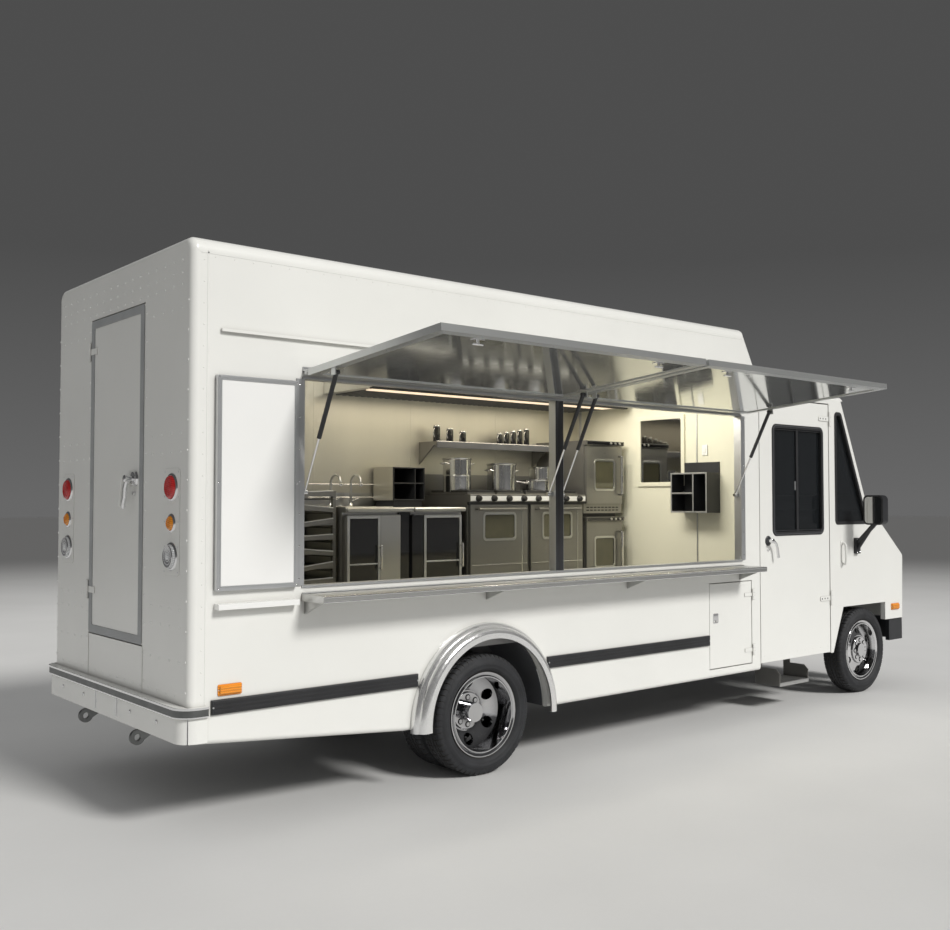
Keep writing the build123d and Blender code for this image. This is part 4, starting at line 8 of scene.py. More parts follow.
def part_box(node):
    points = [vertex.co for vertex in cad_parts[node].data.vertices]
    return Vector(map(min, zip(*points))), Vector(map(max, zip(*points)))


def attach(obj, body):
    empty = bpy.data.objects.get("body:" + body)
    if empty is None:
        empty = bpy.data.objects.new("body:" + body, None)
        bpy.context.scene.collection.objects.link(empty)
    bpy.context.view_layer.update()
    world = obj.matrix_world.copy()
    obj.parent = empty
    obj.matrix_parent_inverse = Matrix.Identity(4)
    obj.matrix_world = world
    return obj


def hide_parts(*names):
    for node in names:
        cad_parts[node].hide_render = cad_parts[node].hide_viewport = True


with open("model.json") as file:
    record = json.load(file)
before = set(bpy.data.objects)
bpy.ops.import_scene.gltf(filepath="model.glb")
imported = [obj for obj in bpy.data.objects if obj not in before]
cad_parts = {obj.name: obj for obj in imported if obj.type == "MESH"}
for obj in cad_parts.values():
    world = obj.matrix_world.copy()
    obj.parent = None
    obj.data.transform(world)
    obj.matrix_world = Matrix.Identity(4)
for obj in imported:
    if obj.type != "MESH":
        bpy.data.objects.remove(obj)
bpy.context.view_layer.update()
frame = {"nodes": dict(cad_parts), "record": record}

NODES = frame["nodes"]

# The vehicle's own coordinates, in millimetres: x forwards from the rear face, y left from the middle, z up
WALL, HALF = 50.0, 1070.0
SKIN, INNER = -HALF, HALF - WALL            # the right side's outer face, and half the width inside
BACK, AHEAD, RIGHT, UP, DOWN = (-1, 0, 0), (1, 0, 0), (0, -1, 0), (0, 0, 1), (0, 0, -1)
FLOOR_Z = 905.0
REAR_WHEEL, FRONT_WHEEL = (2140.0, -850.0, 405.0), (6984.0, -957.5, 405.0)
ROOF_LOW, ROOF_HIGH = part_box("roof")
X0 = ROOF_LOW.x - WALL / 1000
Y0 = (ROOF_LOW.y + ROOF_HIGH.y) / 2


def V(x, y, z):
    """A point of the vehicle, in millimetres, as a place in the frame, in metres."""
    return Vector((X0 + x / 1000, Y0 + y / 1000, z / 1000))


# Materials
MATS = {}


def new_material(name):
    """A material under its name, as its nodes, links and shader."""
    m = bpy.data.materials.new(name)
    m.use_nodes = True
    MATS[name] = m
    return m.node_tree.nodes, m.node_tree.links, m.node_tree.nodes["Principled BSDF"]


def set_inputs(node, **values):
    """Sets a node's sockets; an underscore stands for a space in a socket's name."""
    for socket, value in values.items():
        node.inputs[socket.replace("_", " ")].default_value = value


def add_node(nodes, kind, **values):
    """A new shader node with some of its sockets set."""
    node = nodes.new("ShaderNode" + kind)
    set_inputs(node, **values)
    return node


def add_ramp(nodes, links, source, low, high, places=(0.0, 1.0)):
    """The blend of two colours by a socket's value."""
    ramp = add_node(nodes, "ValToRGB")
    for stop, place, color in zip(ramp.color_ramp.elements, places, (low, high)):
        stop.position = place
        stop.color = (*color, 1)
    links.new(source, ramp.inputs["Fac"])
    return ramp.outputs["Color"]


def add_mix(nodes, links, factor, start, end):
    """The mix of a socket's colour with a plain colour, by a socket's value."""
    mix = add_node(nodes, "Mix")
    mix.data_type = "RGBA"
    mix.inputs["B"].default_value = (*end, 1)
    links.new(factor, mix.inputs["Factor"])
    links.new(start, mix.inputs["A"])
    return mix.outputs["Result"]


def add_bump(nodes, links, shader, height, strength, distance):
    bump = add_node(nodes, "Bump", Strength=strength, Distance=distance)
    links.new(height, bump.inputs["Height"])
    links.new(bump.outputs["Normal"], shader.inputs["Normal"])


def surface(name, color, rough, metal=0.0, vary=0.06, scale=6.0, grain=60.0, bump=0.04, stretch=(1, 1, 1),
            rough_vary=0.1, coat=0.0, dirt=None):
    """Uneven colour and roughness, a fine bump, and a tone (colour, reach, share) that gathers in corners by
    ambient occlusion: painted shade where it darkens, dust where it lightens.
    """
    nodes, links, shader = new_material(name)
    coords = add_node(nodes, "TexCoord")
    mapping = add_node(nodes, "Mapping", Scale=stretch)
    links.new(coords.outputs["Object"], mapping.inputs["Vector"])
    wide = add_node(nodes, "TexNoise", Scale=scale, Detail=6)
    fine = add_node(nodes, "TexNoise", Scale=grain, Detail=4)
    for tex in (wide, fine):
        links.new(mapping.outputs["Vector"], tex.inputs["Vector"])
    dark = [c * (1 - vary) for c in color]
    light = [min(1, c * (1 + vary)) for c in color]
    shade = add_ramp(nodes, links, wide.outputs["Fac"], dark, light, (0.3, 0.7))
    if dirt:
        nook_tone, reach, share = dirt
        # the occlusion mask mixes the tone into corners and recesses: painted shade where it is darker than
        # the surface, dust where it is lighter
        nook = add_node(nodes, "AmbientOcclusion", Distance=reach)
        level = add_node(nodes, "MapRange", From_Min=0.35, From_Max=0.9, To_Min=share, To_Max=0.0)
        links.new(nook.outputs["AO"], level.inputs["Value"])
        shade = add_mix(nodes, links, level.outputs["Result"], shade, nook_tone)
    links.new(shade, shader.inputs["Base Color"])
    low, high = max(0.02, rough * (1 - rough_vary * 2)), min(1, rough * (1 + rough_vary * 2))
    rough_range = add_node(nodes, "MapRange", To_Min=low, To_Max=high)
    links.new(fine.outputs["Fac"], rough_range.inputs["Value"])
    links.new(rough_range.outputs["Result"], shader.inputs["Roughness"])
    if bump:
        add_bump(nodes, links, shader, fine.outputs["Fac"], bump, 0.002)
    set_inputs(shader, Metallic=metal, Coat_Weight=coat, Coat_Roughness=0.12)


def glass(name, color, rough, alpha):
    """Thin tinted glass that lets part of the light through, a little uneven."""
    nodes, links, shader = new_material(name)
    noise = add_node(nodes, "TexNoise", Scale=3)
    level = add_node(nodes, "MapRange", To_Min=rough, To_Max=rough + 0.05)
    links.new(noise.outputs["Fac"], level.inputs["Value"])
    links.new(level.outputs["Result"], shader.inputs["Roughness"])
    set_inputs(shader, Base_Color=(*color, 1), Alpha=alpha, Specular_IOR_Level=0.6)


def lens(name, color):
    """Moulded lens: saturated plastic with a prism pattern of fine waves."""
    nodes, links, shader = new_material(name)
    coords = add_node(nodes, "TexCoord")
    wave = add_node(nodes, "TexWave", Scale=28, Distortion=1.5)
    wave.wave_type = "RINGS"
    links.new(coords.outputs["Object"], wave.inputs["Vector"])
    dark, light = [c * 0.75 for c in color], [min(1, c * 1.1) for c in color]
    links.new(add_ramp(nodes, links, wave.outputs["Fac"], dark, light), shader.inputs["Base Color"])
    add_bump(nodes, links, shader, wave.outputs["Fac"], 0.2, 0.003)
    set_inputs(shader, Roughness=0.12, Coat_Weight=0.6)


def lit(name, color, strength):
    """A lamp's diffuser that glows a little unevenly."""
    nodes, links, shader = new_material(name)
    noise = add_node(nodes, "TexNoise", Scale=12)
    glow = add_ramp(nodes, links, noise.outputs["Fac"], [c * 0.85 for c in color], color)
    links.new(glow, shader.inputs["Emission Color"])
    links.new(glow, shader.inputs["Base Color"])
    set_inputs(shader, Emission_Strength=strength, Roughness=0.4)


# painted shade for the white paint's corners and seams
NOOK_SHADE = (0.20, 0.18, 0.15)
PLATED = dict(metal=1.0, vary=0.02, grain=40, bump=0.008, rough_vary=0.3)
DRAWN = dict(vary=0.02, grain=180, bump=0.004, stretch=(0.08, 1, 1), rough_vary=0.08)
SHINY = dict(grain=4, bump=0.0, coat=0.5)
surface("white_paint", (0.80, 0.80, 0.77), 0.30, vary=0.025, scale=1.3, grain=140, bump=0.03, coat=0.35,
        dirt=(NOOK_SHADE, 0.05, 0.35))
surface("grey_frame", (0.045, 0.045, 0.048), 0.55, vary=0.2, grain=80, bump=0.12)
surface("cast", (0.10, 0.10, 0.105), 0.6, metal=0.6, vary=0.2, grain=120, bump=0.3)
surface("stainless", (0.57, 0.57, 0.56), 0.30, metal=1.0, vary=0.02, scale=3, grain=220, bump=0.004,
        stretch=(0.04, 1, 1), rough_vary=0.08, dirt=((0.12, 0.11, 0.10), 0.05, 0.4))
surface("aluminium", (0.64, 0.65, 0.66), 0.34, metal=0.9, dirt=((0.15, 0.15, 0.15), 0.04, 0.5), **DRAWN)
surface("chrome", (0.82, 0.82, 0.83), 0.07, **PLATED)
surface("tyre", (0.020, 0.021, 0.024), 0.70, vary=0.25, scale=9, grain=260, bump=0.16,
        dirt=((0.09, 0.08, 0.07), 0.012, 0.6))
surface("black_trim", (0.022, 0.023, 0.026), 0.42, vary=0.2, grain=200, bump=0.08)
glass("glass", (0.012, 0.014, 0.016), 0.03, 0.72)
lens("red_lens", (0.55, 0.02, 0.02))
lens("amber_lens", (0.85, 0.30, 0.02))
lens("clear_lens", (0.75, 0.76, 0.77))
surface("cream", (0.74, 0.725, 0.60), 0.45, vary=0.03, scale=1.5, grain=120, bump=0.02)
surface("seat_vinyl", (0.03, 0.03, 0.033), 0.5, vary=0.2, grain=240, bump=0.25)
surface("dash_plastic", (0.05, 0.05, 0.055), 0.6, vary=0.15, grain=300, bump=0.2)
surface("floor_sheet", (0.30, 0.30, 0.30), 0.5, metal=0.6, vary=0.12, grain=60, bump=0.15)
surface("board_white", (0.86, 0.86, 0.845), 0.25, vary=0.015, scale=2, grain=60, bump=0.01, coat=0.4)
surface("rubber", (0.018, 0.018, 0.02), 0.55, vary=0.2, grain=220, bump=0.1)
# brighter than the body paint: a painted highlight on the rivet heads
surface("rivet_white", (0.92, 0.92, 0.90), 0.25, vary=0.02, bump=0.02, coat=0.5)
# Rim plating: the rear rims' copy is darker than the front rims' as painted shade for the dark reflections in
# their dish, and both rims darken almost to black in their recesses as painted shade
surface("wheel_chrome", (0.56, 0.56, 0.575), 0.08, dirt=((0.025, 0.025, 0.027), 0.11, 0.95), **PLATED)
surface("bright_wheel", (0.80, 0.80, 0.81), 0.08, dirt=((0.03, 0.03, 0.03), 0.05, 0.9), **PLATED)
surface("flare_steel", (0.84, 0.84, 0.84), 0.20, metal=0.8, vary=0.02, grain=60, bump=0.006, rough_vary=0.3,
        dirt=((0.10, 0.10, 0.10), 0.02, 0.4))
surface("frame_alloy", (0.60, 0.61, 0.605), 0.30, metal=0.75, **DRAWN)
surface("pot_steel", (0.60, 0.60, 0.59), 0.17, metal=1.0, vary=0.03, scale=3, grain=120, bump=0.005,
        stretch=(1, 1, 0.06), rough_vary=0.3)
surface("zinc", (0.17, 0.175, 0.175), 0.38, metal=0.9, vary=0.12, scale=14, grain=160, bump=0.08,
        dirt=((0.06, 0.05, 0.04), 0.03, 0.6))
surface("tinted_mirror", (0.36, 0.36, 0.35), 0.05, metal=1.0, vary=0.02, grain=8, bump=0.0)
surface("mid_grey", (0.34, 0.35, 0.355), 0.5, vary=0.08, grain=160, bump=0.06)
surface("range_steel", (0.30, 0.295, 0.28), 0.34, metal=0.85, vary=0.06, scale=3, grain=220, bump=0.008,
        stretch=(0.04, 1, 1), rough_vary=0.2, dirt=((0.08, 0.075, 0.07), 0.05, 0.4))
surface("seal_grey", (0.085, 0.088, 0.095), 0.5, vary=0.12, grain=160, bump=0.08)
surface("polished", (0.62, 0.63, 0.62), 0.09, metal=0.78, vary=0.03, scale=1.2, grain=14, bump=0.012,
        rough_vary=0.4)
surface("lining_steel", (0.56, 0.54, 0.47), 0.42, metal=0.75, vary=0.05, scale=2, grain=200, bump=0.02,
        stretch=(1, 1, 0.05))
surface("dark_glass", (0.012, 0.012, 0.013), 0.06, vary=0.2, **SHINY)
surface("oven_glass", (0.10, 0.095, 0.06), 0.10, vary=0.15, **SHINY)
surface("iron", (0.02, 0.02, 0.02), 0.6, vary=0.2, grain=160, bump=0.3)
lit("warm_light", (1.0, 0.80, 0.58), 1.0)

# A solid takes the finish of its slot in the record, or a finer one from this list
FINER = {
    # the entry steps and the wall shelf take this dark steel as painted shade, for the shadow under the truck
    # and under the shelf
    "range_steel": ("cooking_line", "pan_rack", "wall_shelf", "entry_steps"),
    "frame_alloy": ("hatch_rear", "hatch_front"),
    "zinc": ("tow_eyes",),
    "flare_steel": ("wheel_flares",),
    "bright_wheel": ("right_front_rim", "left_front_rim"),
    "wheel_chrome": ("right_rear_rims", "left_rear_rims"),
}
finish_of = {p["node"]: p["material_slot"] for p in frame["record"]["subparts"]}
finish_of |= {node: mat for mat, solids in FINER.items() for node in solids}
for node, obj in NODES.items():
    obj.data.materials.clear()
    obj.data.materials.append(MATS[finish_of[node]])

# Building blocks: a piece gathers plain shapes, in vehicle millimetres, and becomes one mesh on one body
MIRROR = Matrix.Scale(-1, 4, (0, 1, 0))
SIDES = (("right", Matrix.Identity(4)), ("left", MIRROR))
SHARP = math.radians(50)
SPOTS = {"x": lambda p, d: (d, *p), "y": lambda p, d: (p[0], d, p[1]), "z": lambda p, d: (*p, d)}


def near(at, low, high=None):
    """A (low, high) pair round a place: as far to each side, or at two distances along the axis."""
    return (at - low, at + low) if high is None else (at + low, at + high)


def wider(pair, d):
    """A (low, high) pair with both ends moved out by d."""
    return (pair[0] - d, pair[1] + d)


def steps(low, high, pitch):
    """Evenly spaced values from low to high, about a pitch apart."""
    n = max(1, round((high - low) / pitch))
    return [low + (high - low) * i / n for i in range(n + 1)]


def quads(rows, n, loop=False):
    """Faces between rings of n points each, from ring to ring, and back to the first one in a loop."""
    pairs = [(i * n, (i + 1) % rows * n) for i in range(rows if loop else rows - 1)]
    return [[a + k, a + (k + 1) % n, b + (k + 1) % n, b + k] for a, b in pairs for k in range(n)]


def ridge(r, foot, top, h):
    """Half section of a low ring, for a lathe, from half its width at the foot and at the top."""
    return [(r - foot, 0), (r - top, h), (r + top, h), (r + foot, 0)]


def rounded(u, v, r, n=5):
    """Outline of a rectangle with round corners, from (low, high) pairs."""
    return rounded_polygon([(u[0], v[0]), (u[1], v[0]), (u[1], v[1]), (u[0], v[1])], r, n)


def rounded_polygon(points, r, n=5):
    """Outline of a convex polygon, given anticlockwise, with round corners."""
    outline = []
    for i, p in enumerate(points):
        here = Vector(p)
        before = (Vector(points[i - 1]) - here).normalized()
        after = (Vector(points[(i + 1) % len(points)]) - here).normalized()
        half = before.angle(after) / 2
        centre = here + (before + after).normalized() * (r / math.sin(half))
        start = here + before * (r / math.tan(half)) - centre
        end = here + after * (r / math.tan(half)) - centre
        for k in range(n + 1):
            outline.append(tuple(centre + start.lerp(end, k / n).normalized() * r))
    return outline


def grown(points, d):
    """A convex polygon, given anticlockwise, with every side moved out by d."""
    sides = []
    for a, b in zip(points, points[1:] + points[:1]):
        run = (Vector(b) - Vector(a)).normalized()
        sides.append((Vector(a) + Vector((run.y, -run.x)) * d, run))
    corners = []
    for (p, r), (q, s) in zip(sides[-1:] + sides[:-1], sides):
        t = (q - p).cross(s) / r.cross(s)
        corners.append(tuple(p + r * t))
    return corners


class Piece:
    """One mesh in the making: its shapes so far, and the place that its own axes have in the vehicle."""

    def __init__(self, name, place=Matrix.Identity(4)):
        self.name, self.place = name, place
        self.verts, self.faces, self.marks, self.slots = [], [], [], []

    def add(self, verts, faces, mat):
        if mat not in self.slots:
            self.slots.append(mat)
        first = len(self.verts)
        self.verts += [Vector(v) for v in verts]
        self.faces += [[first + i for i in f] for f in faces]
        self.marks += [self.slots.index(mat)] * len(faces)

    def box(self, x, y, z, mat, edge=1.0):
        """A block with chamfered edges: three points to a corner, one on each of its faces."""
        lo = [min(x), min(y), min(z)]
        hi = [max(x), max(y), max(z)]
        edge = min([edge] + [(h - l) / 3 for l, h in zip(lo, hi)])
        verts, faces = [], []
        for corner in range(8):
            for axis in range(3):
                inset = [0 if a == axis else edge for a in range(3)]
                verts.append([hi[a] - inset[a] if corner >> a & 1 else lo[a] + inset[a] for a in range(3)])
        for axis in range(3):
            b, c = (axis + 1) % 3, (axis + 2) % 3
            for end in (0, 1):
                turn = ((0, 0), (1, 0), (1, 1), (0, 1))
                loop = [3 * (end << axis | eb << b | ec << c) + axis for eb, ec in turn]
                faces.append(loop if end else loop[::-1])
            for eb, ec in ((0, 0), (0, 1), (1, 0), (1, 1)):
                turn = ((0, b), (1, b), (1, c), (0, c))
                loop = [3 * (ea << axis | eb << b | ec << c) + face for ea, face in turn]
                faces.append(loop if eb != ec else loop[::-1])
        for corner in range(8):
            loop = [3 * corner + axis for axis in range(3)]
            faces.append(loop if corner.bit_count() % 2 else loop[::-1])
        self.add(verts, faces, mat)

    def prism(self, outline, axis, span, mat, hole=None, edge=0.0):
        """An outline pushed along x, y or z, with a hole of as many points if there is one."""
        lo, hi = min(span), max(span)
        n = len(outline)
        levels = [lo, lo + edge, hi - edge, hi] if edge else [lo, hi]
        count = len(levels)
        middle = Vector((sum(p[0] for p in outline) / n, sum(p[1] for p in outline) / n))
        verts, rings, faces = [], [], []
        for line, way in [(outline, -1)] + ([(hole, 1)] if hole else []):
            for k, d in enumerate(levels):
                shift = edge if k in (0, count - 1) else 0
                rings.append(list(range(len(verts), len(verts) + n)))
                for q in map(Vector, line):
                    verts.append(SPOTS[axis](q + (q - middle).normalized() * way * shift, d))
        flip = axis == "y"

        def skin(a, b, turn):
            for i in range(n):
                j = (i + 1) % n
                loop = [a[i], a[j], b[j], b[i]]
                faces.append(loop[::-1] if turn != flip else loop)

        for k in range(count - 1):
            skin(rings[k], rings[k + 1], False)
        if hole:
            for k in range(count - 1):
                skin(rings[count + k], rings[count + k + 1], True)
            skin(rings[count], rings[0], False)
            skin(rings[count - 1], rings[-1], False)
        else:
            faces.append(rings[0] if flip else rings[0][::-1])
            faces.append(rings[-1][::-1] if flip else rings[-1])
        self.add(verts, faces, mat)

    def rim(self, u, v, axis, span, mat, outer, inner, edge=0.0, n=5):
        """A frame along a rectangle, whose outer and inner edge lie (distance, corner radius) outside it."""
        out, hole = [rounded(wider(u, d), wider(v, d), r, n) for d, r in (outer, inner)]
        self.prism(out, axis, span, mat, hole, edge)

    def lathe(self, profile, centre, axis, mat, n=32):
        """(radius, distance) pairs turned about an axis through a point; a radius of 0 closes an end."""
        axis = Vector(axis).normalized()
        across = axis.orthogonal().normalized()
        third = axis.cross(across)
        verts, rows, faces = [], [], []
        for r, d in profile:
            at = Vector(centre) + axis * d
            if r == 0:
                rows.append([len(verts)])
                verts.append(at)
                continue
            rows.append(list(range(len(verts), len(verts) + n)))
            for i in range(n):
                a = 2 * math.pi * i / n
                verts.append(at + (across * math.cos(a) + third * math.sin(a)) * r)
        for a, b in zip(rows, rows[1:]):
            for i in range(n):
                j = (i + 1) % n
                loop = [a[i % len(a)], a[j % len(a)], b[j % len(b)], b[i % len(b)]]
                faces.append(list(dict.fromkeys(loop)))
        self.add(verts, faces, mat)

    def bar(self, a, b, r, mat, n=14, edge=1.0):
        """A round bar with chamfered ends."""
        a, b = Vector(a), Vector(b)
        length = (b - a).length
        edge = min(edge, r / 2, length / 3)
        half = [(0, 0), (r - edge, 0), (r, edge)]
        self.lathe(half + [(q, length - d) for q, d in half[::-1]], a, b - a, mat, n)

    def tube(self, points, r, mat, n=10, closed=False):
        """A round rod bent along a line of points."""
        points = [Vector(p) for p in points]
        count = len(points)
        verts, side = [], None
        for i, p in enumerate(points):
            nxt = points[(i + 1) % count] if closed or i + 1 < count else p
            last = points[i - 1] if closed or i else p
            run = (nxt - last).normalized()
            side = run.orthogonal() if side is None else side - run * side.dot(run)
            side.normalize()
            third = run.cross(side)
            for k in range(n):
                a = 2 * math.pi * k / n
                verts.append(p + (side * math.cos(a) + third * math.sin(a)) * r)
        faces = quads(count, n, closed)
        if not closed:
            faces += [list(range(n))[::-1], list(range((count - 1) * n, count * n))]
        self.add(verts, faces, mat)

    def strip(self, line, back, span, mat, axis="y"):
        """A bent sheet between two lines, pushed along an axis."""
        n = len(line)
        rows = [(line, span[0]), (line, span[1]), (back, span[1]), (back, span[0])]
        verts = [SPOTS[axis](p, d) for points, d in rows for p in points]
        faces = []
        for i in range(n - 1):
            for k in range(4):
                a, b = k * n, (k + 1) % 4 * n
                faces.append([a + i, a + i + 1, b + i + 1, b + i])
        faces += [[k * n for k in range(4)], [k * n + n - 1 for k in (3, 2, 1, 0)]]
        self.add(verts, faces, mat)

    def rivets(self, spots, way, mat, r, h):
        """Low domed heads standing on a face."""
        for spot in spots:
            self.lathe([(r, 0), (r * 0.8, h * 0.7), (r * 0.35, h), (0, h)], spot, way, mat, 8)

    def done(self, slot, body="chassis", replaces=(), sharp=SHARP, flat=True):
        """Makes the mesh and moves it with a body; the slot that it is given is not used."""
        mesh = bpy.data.meshes.new(self.name)
        flipped = self.place.determinant() < 0
        faces = [f[::-1] for f in self.faces] if flipped else self.faces
        mesh.from_pydata([V(*(self.place @ v)) for v in self.verts], [], faces)
        for mat in self.slots:
            mesh.materials.append(MATS[mat])
        mesh.polygons.foreach_set("material_index", self.marks)
        mesh.polygons.foreach_set("use_smooth", [True] * len(faces))
        mesh.update()
        mesh.set_sharp_from_angle(angle=sharp)
        obj = bpy.data.objects.new(self.name, mesh)
        bpy.context.scene.collection.objects.link(obj)
        if flat:
            obj.modifiers.new("flat_faces", "WEIGHTED_NORMAL").keep_sharp = True
        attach(obj, body)
        if replaces:
            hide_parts(*replaces)
        return obj


# Body skin: rivets, corner seams and the rear wall's trim
ROOF_SEAM_Z, KITCHEN_END_X, SEAM_X, SHEET_WIDE = 3254.0, 5062.0, 98.0, 1220.0
DOOR_Y, DOOR_Z = (-437.5, 437.5), (985.0, 3042.0)
BUMPER_TOP, ROOF_Z = 715.0, 3337.0

rear = Piece("rear_rivets")
spots = [(0, y, z) for z in (3210, 3140, 3072) for y in steps(-950, 950, 118)]
for way in (-1, 1):
    spots += [(0, way * y, z) for y in (1032, 462) for z in steps(790, 2970, 168)]
    spots += [(0, way * y, z) for z in (2940, 2232, 2126, 1239, 1141, 948) for y in (560, 690, 820, 945)]
# the rear rivets are whiter than the paint around them, as painted highlights
rear.rivets(spots, BACK, "rivet_white", 8.0, 4.0)
rear.rivets([(0, y, 760) for y in steps(-900, 900, 118)], BACK, "rivet_white", 7.0, 3.5)
rear.done("white_paint")

for side, place in SIDES:
    seams = Piece(f"{side}_seams", place)
    proud = near(SKIN, -1.6, 1)
    seams.box(near(SEAM_X, 5), proud, (520, ROOF_SEAM_Z), "white_paint", 0.8)
    seams.box((WALL, KITCHEN_END_X), proud, near(ROOF_SEAM_Z, -16, -6), "white_paint", 0.8)
    spots = [(x, SKIN, ROOF_SEAM_Z - 30) for x in steps(140, 5020, 120)]
    spots += [(SEAM_X - 24, SKIN, z) for z in steps(780, 3200, 120)]
    if side == "left":
        for x in steps(SEAM_X, 4990, SHEET_WIDE)[1:]:
            seams.box(near(x, 5), proud, (1120, ROOF_SEAM_Z - 20), "white_paint", 0.8)
            spots += [(row, SKIN, z) for row in near(x, 22) for z in steps(1140, 3190, 120)]
    seams.rivets(spots, RIGHT, "white_paint", 4.5, 2)
    seams.done("white_paint")

roof = Piece("roof_seams")
for x in steps(SEAM_X, 4960, SHEET_WIDE):
    roof.box(near(x, 14), (-985, 985), near(ROOF_Z, -4, 0), "white_paint", 1.2)
    roof.rivets([(x, y, ROOF_Z) for y in steps(-960, 960, 160)], UP, "white_paint", 5, 2.5)
roof.done("white_paint")

foot = Piece("rear_door_tracks")
for y in DOOR_Y:
    foot.box((-4, 1), near(y, 6), (BUMPER_TOP, DOOR_Z[0]), "white_paint", 1.5)
foot.done("white_paint")

# Rear door: a stop behind its gap, a grey seal round its face and a bright lever
stop = Piece("rear_door_stop")
stop.rim(DOOR_Y, DOOR_Z, "x", near(WALL, -0.5, 8), "cream", (34, 12), (2, 12), 2)
stop.rim(DOOR_Y, DOOR_Z, "x", near(WALL, 0.5, 6), "rubber", (30, 12), (-26, 12), 1.5)
stop.done("black_trim")

seal = Piece("rear_door_seal")
seal.rim(DOOR_Y, DOOR_Z, "x", (-5, 1), "mid_grey", (-8, 20), (-60, 14), 2)
seal.done("black_trim", "rear_door")

LEVER_Y, LEVER_Z = -312.0, 1985.0
lever = Piece("rear_door_lever")
rose = [(46, 0), (46, 4), (41, 10), (40, 19), (34, 22), (17, 23)]
knob = [(17, 56), (21, 58), (21, 70), (16, 74), (0, 75)]
lever.lathe(rose + knob, (0, LEVER_Y, LEVER_Z), BACK, "chrome", 40)
drop = [(-58, 0, 10), (-54, 6, -20), (-58, 16, -60), (-54, 30, -110), (-58, 43, -155), (-54, 46, -172)]
lever.tube([(x, LEVER_Y + y, LEVER_Z + z) for x, y, z in drop], 13.5, "chrome", 16)
tip = (-56, LEVER_Y + 46, LEVER_Z - 172)
lever.lathe([(0, -12), (8, -10), (12, 0), (8, 10), (0, 12)], tip, (0, 0.25, -1), "chrome", 16)
lever.bar((-16, LEVER_Y + 4, LEVER_Z - 90), (1, LEVER_Y + 4, LEVER_Z - 90), 13, "chrome")
lever.done("chrome", "rear_door")

# Tail lamps: a pressed plate on each side, with a bezel and reflector rings for every lens
TAIL_Y = -837.0
TAIL = ((1927.0, 68.0, 26.0, "red_lens"), (1723.0, 42.0, 22.0, "amber_lens"),
        (1535.0, 68.0, 26.0, "clear_lens"))         # height, radius and depth of each lens
for side, place in SIDES:
    plate = Piece(f"{side}_lamp_plate", place)
    plate.prism(rounded(near(TAIL_Y, 106), (1428, 2034), 26), "x", (-4, 1), "white_paint", edge=1.5)
    spots = [(-4, y, z) for y in near(TAIL_Y, 90) for z in steps(1448, 2014, 140)]
    plate.rivets(spots, BACK, "aluminium", 5, 2.5)
    for z, r, depth, mat in TAIL:
        bezel = [(r + 13, 0), (r + 12, 4), (r + 7, 8), (r + 1.5, 9), (r + 1, 0)]
        plate.lathe(bezel, (-3, TAIL_Y, z), BACK, "chrome", 40)
        face = (-depth, TAIL_Y, z)
        for share in (0.42, 0.68):
            plate.lathe(ridge(r * share, 2.5, 1.5, 2.4), face, BACK, mat, 40)
        plate.lathe([(8, 0), (7, 2.4), (0, 3)], face, BACK, mat, 20)
        if mat == "clear_lens":
            bowl = [(r - 4, 0), (r - 6, 3), (r * 0.6, 1.4), (r * 0.3, 0.6)]
            plate.lathe(bowl, face, BACK, "chrome", 40)
            bulb = [(r * 0.3, 0), (r * 0.28, 4), (r * 0.15, 7), (0, 8)]
            plate.lathe(bulb, face, BACK, mat, 24)
    plate.done("white_paint")

# Rear bumper: a dark band with bright beads, bolts, and two slits with bright edges
BUMPER_HALF, BUMPER_BACK, BUMPER_ROUND, BUMPER_END_X = HALF + 26, -57.0, 107.0, 108.0
BAND_GAP = 0.3


def bumper_line(grow):
    """Plan of the rear bumper's upper band, from one end round the back to the other."""
    half, back, r = BUMPER_HALF + grow, BUMPER_BACK - grow, BUMPER_ROUND + grow
    line = [(BUMPER_END_X, -half)]
    for k in range(9):
        a = math.pi / 2 * k / 8
        line.append((back + r - r * math.sin(a), -half + r - r * math.cos(a)))
    return line + [(x, -y) for x, y in line[::-1]]


band = Piece("bumper_strip")
for z, thick, mat in (((663, 709), 3.0, "zinc"), ((702, 714), 5.5, "chrome"), ((657, 664), 4.0, "chrome")):
    band.strip(bumper_line(BAND_GAP), bumper_line(BAND_GAP + thick), z, mat, "z")
for y in (-760, -380, 380, 760):
    band.lathe([(13, 0), (13, 4), (9, 6), (0, 6.5)], (-45, y, 600), BACK, "chrome", 6)
for y in (-170, 170):
    band.box((-38.5, -36.5), near(y, 4.5), (541, 644), "rubber", 0.6)
    for edge in near(y, 10):
        band.box((-48, -44), near(edge, 5), (536, 648), "chrome", 1.5)
band.done("black_trim")

# Menu board: a white sheet in its frame, held by screws
MENU_X, MENU_Z, MENU_FACE = (147.0, 662.0), (1349.0, 2555.0), SKIN - 28
board = Piece("menu_sheet")
board.box(wider(MENU_X, -22), near(MENU_FACE, -2, 0.5), wider(MENU_Z, -22), "board_white", 0.6)
board.done("board_white")
border = Piece("menu_frame")
border.rim(MENU_X, MENU_Z, "y", (MENU_FACE - 6, SKIN), "aluminium", (3, 6), (-25, 3), 2)
border.rim(MENU_X, MENU_Z, "y", near(MENU_FACE, -6.6, -5), "mid_grey", (-17, 4), (-20, 4))
spots = [(x, MENU_FACE - 6, z) for x in wider(MENU_X, -8) for z in (*wider(MENU_Z, -8), sum(MENU_Z) / 2)]
border.rivets(spots, RIGHT, "chrome", 5, 2)
border.done("aluminium")

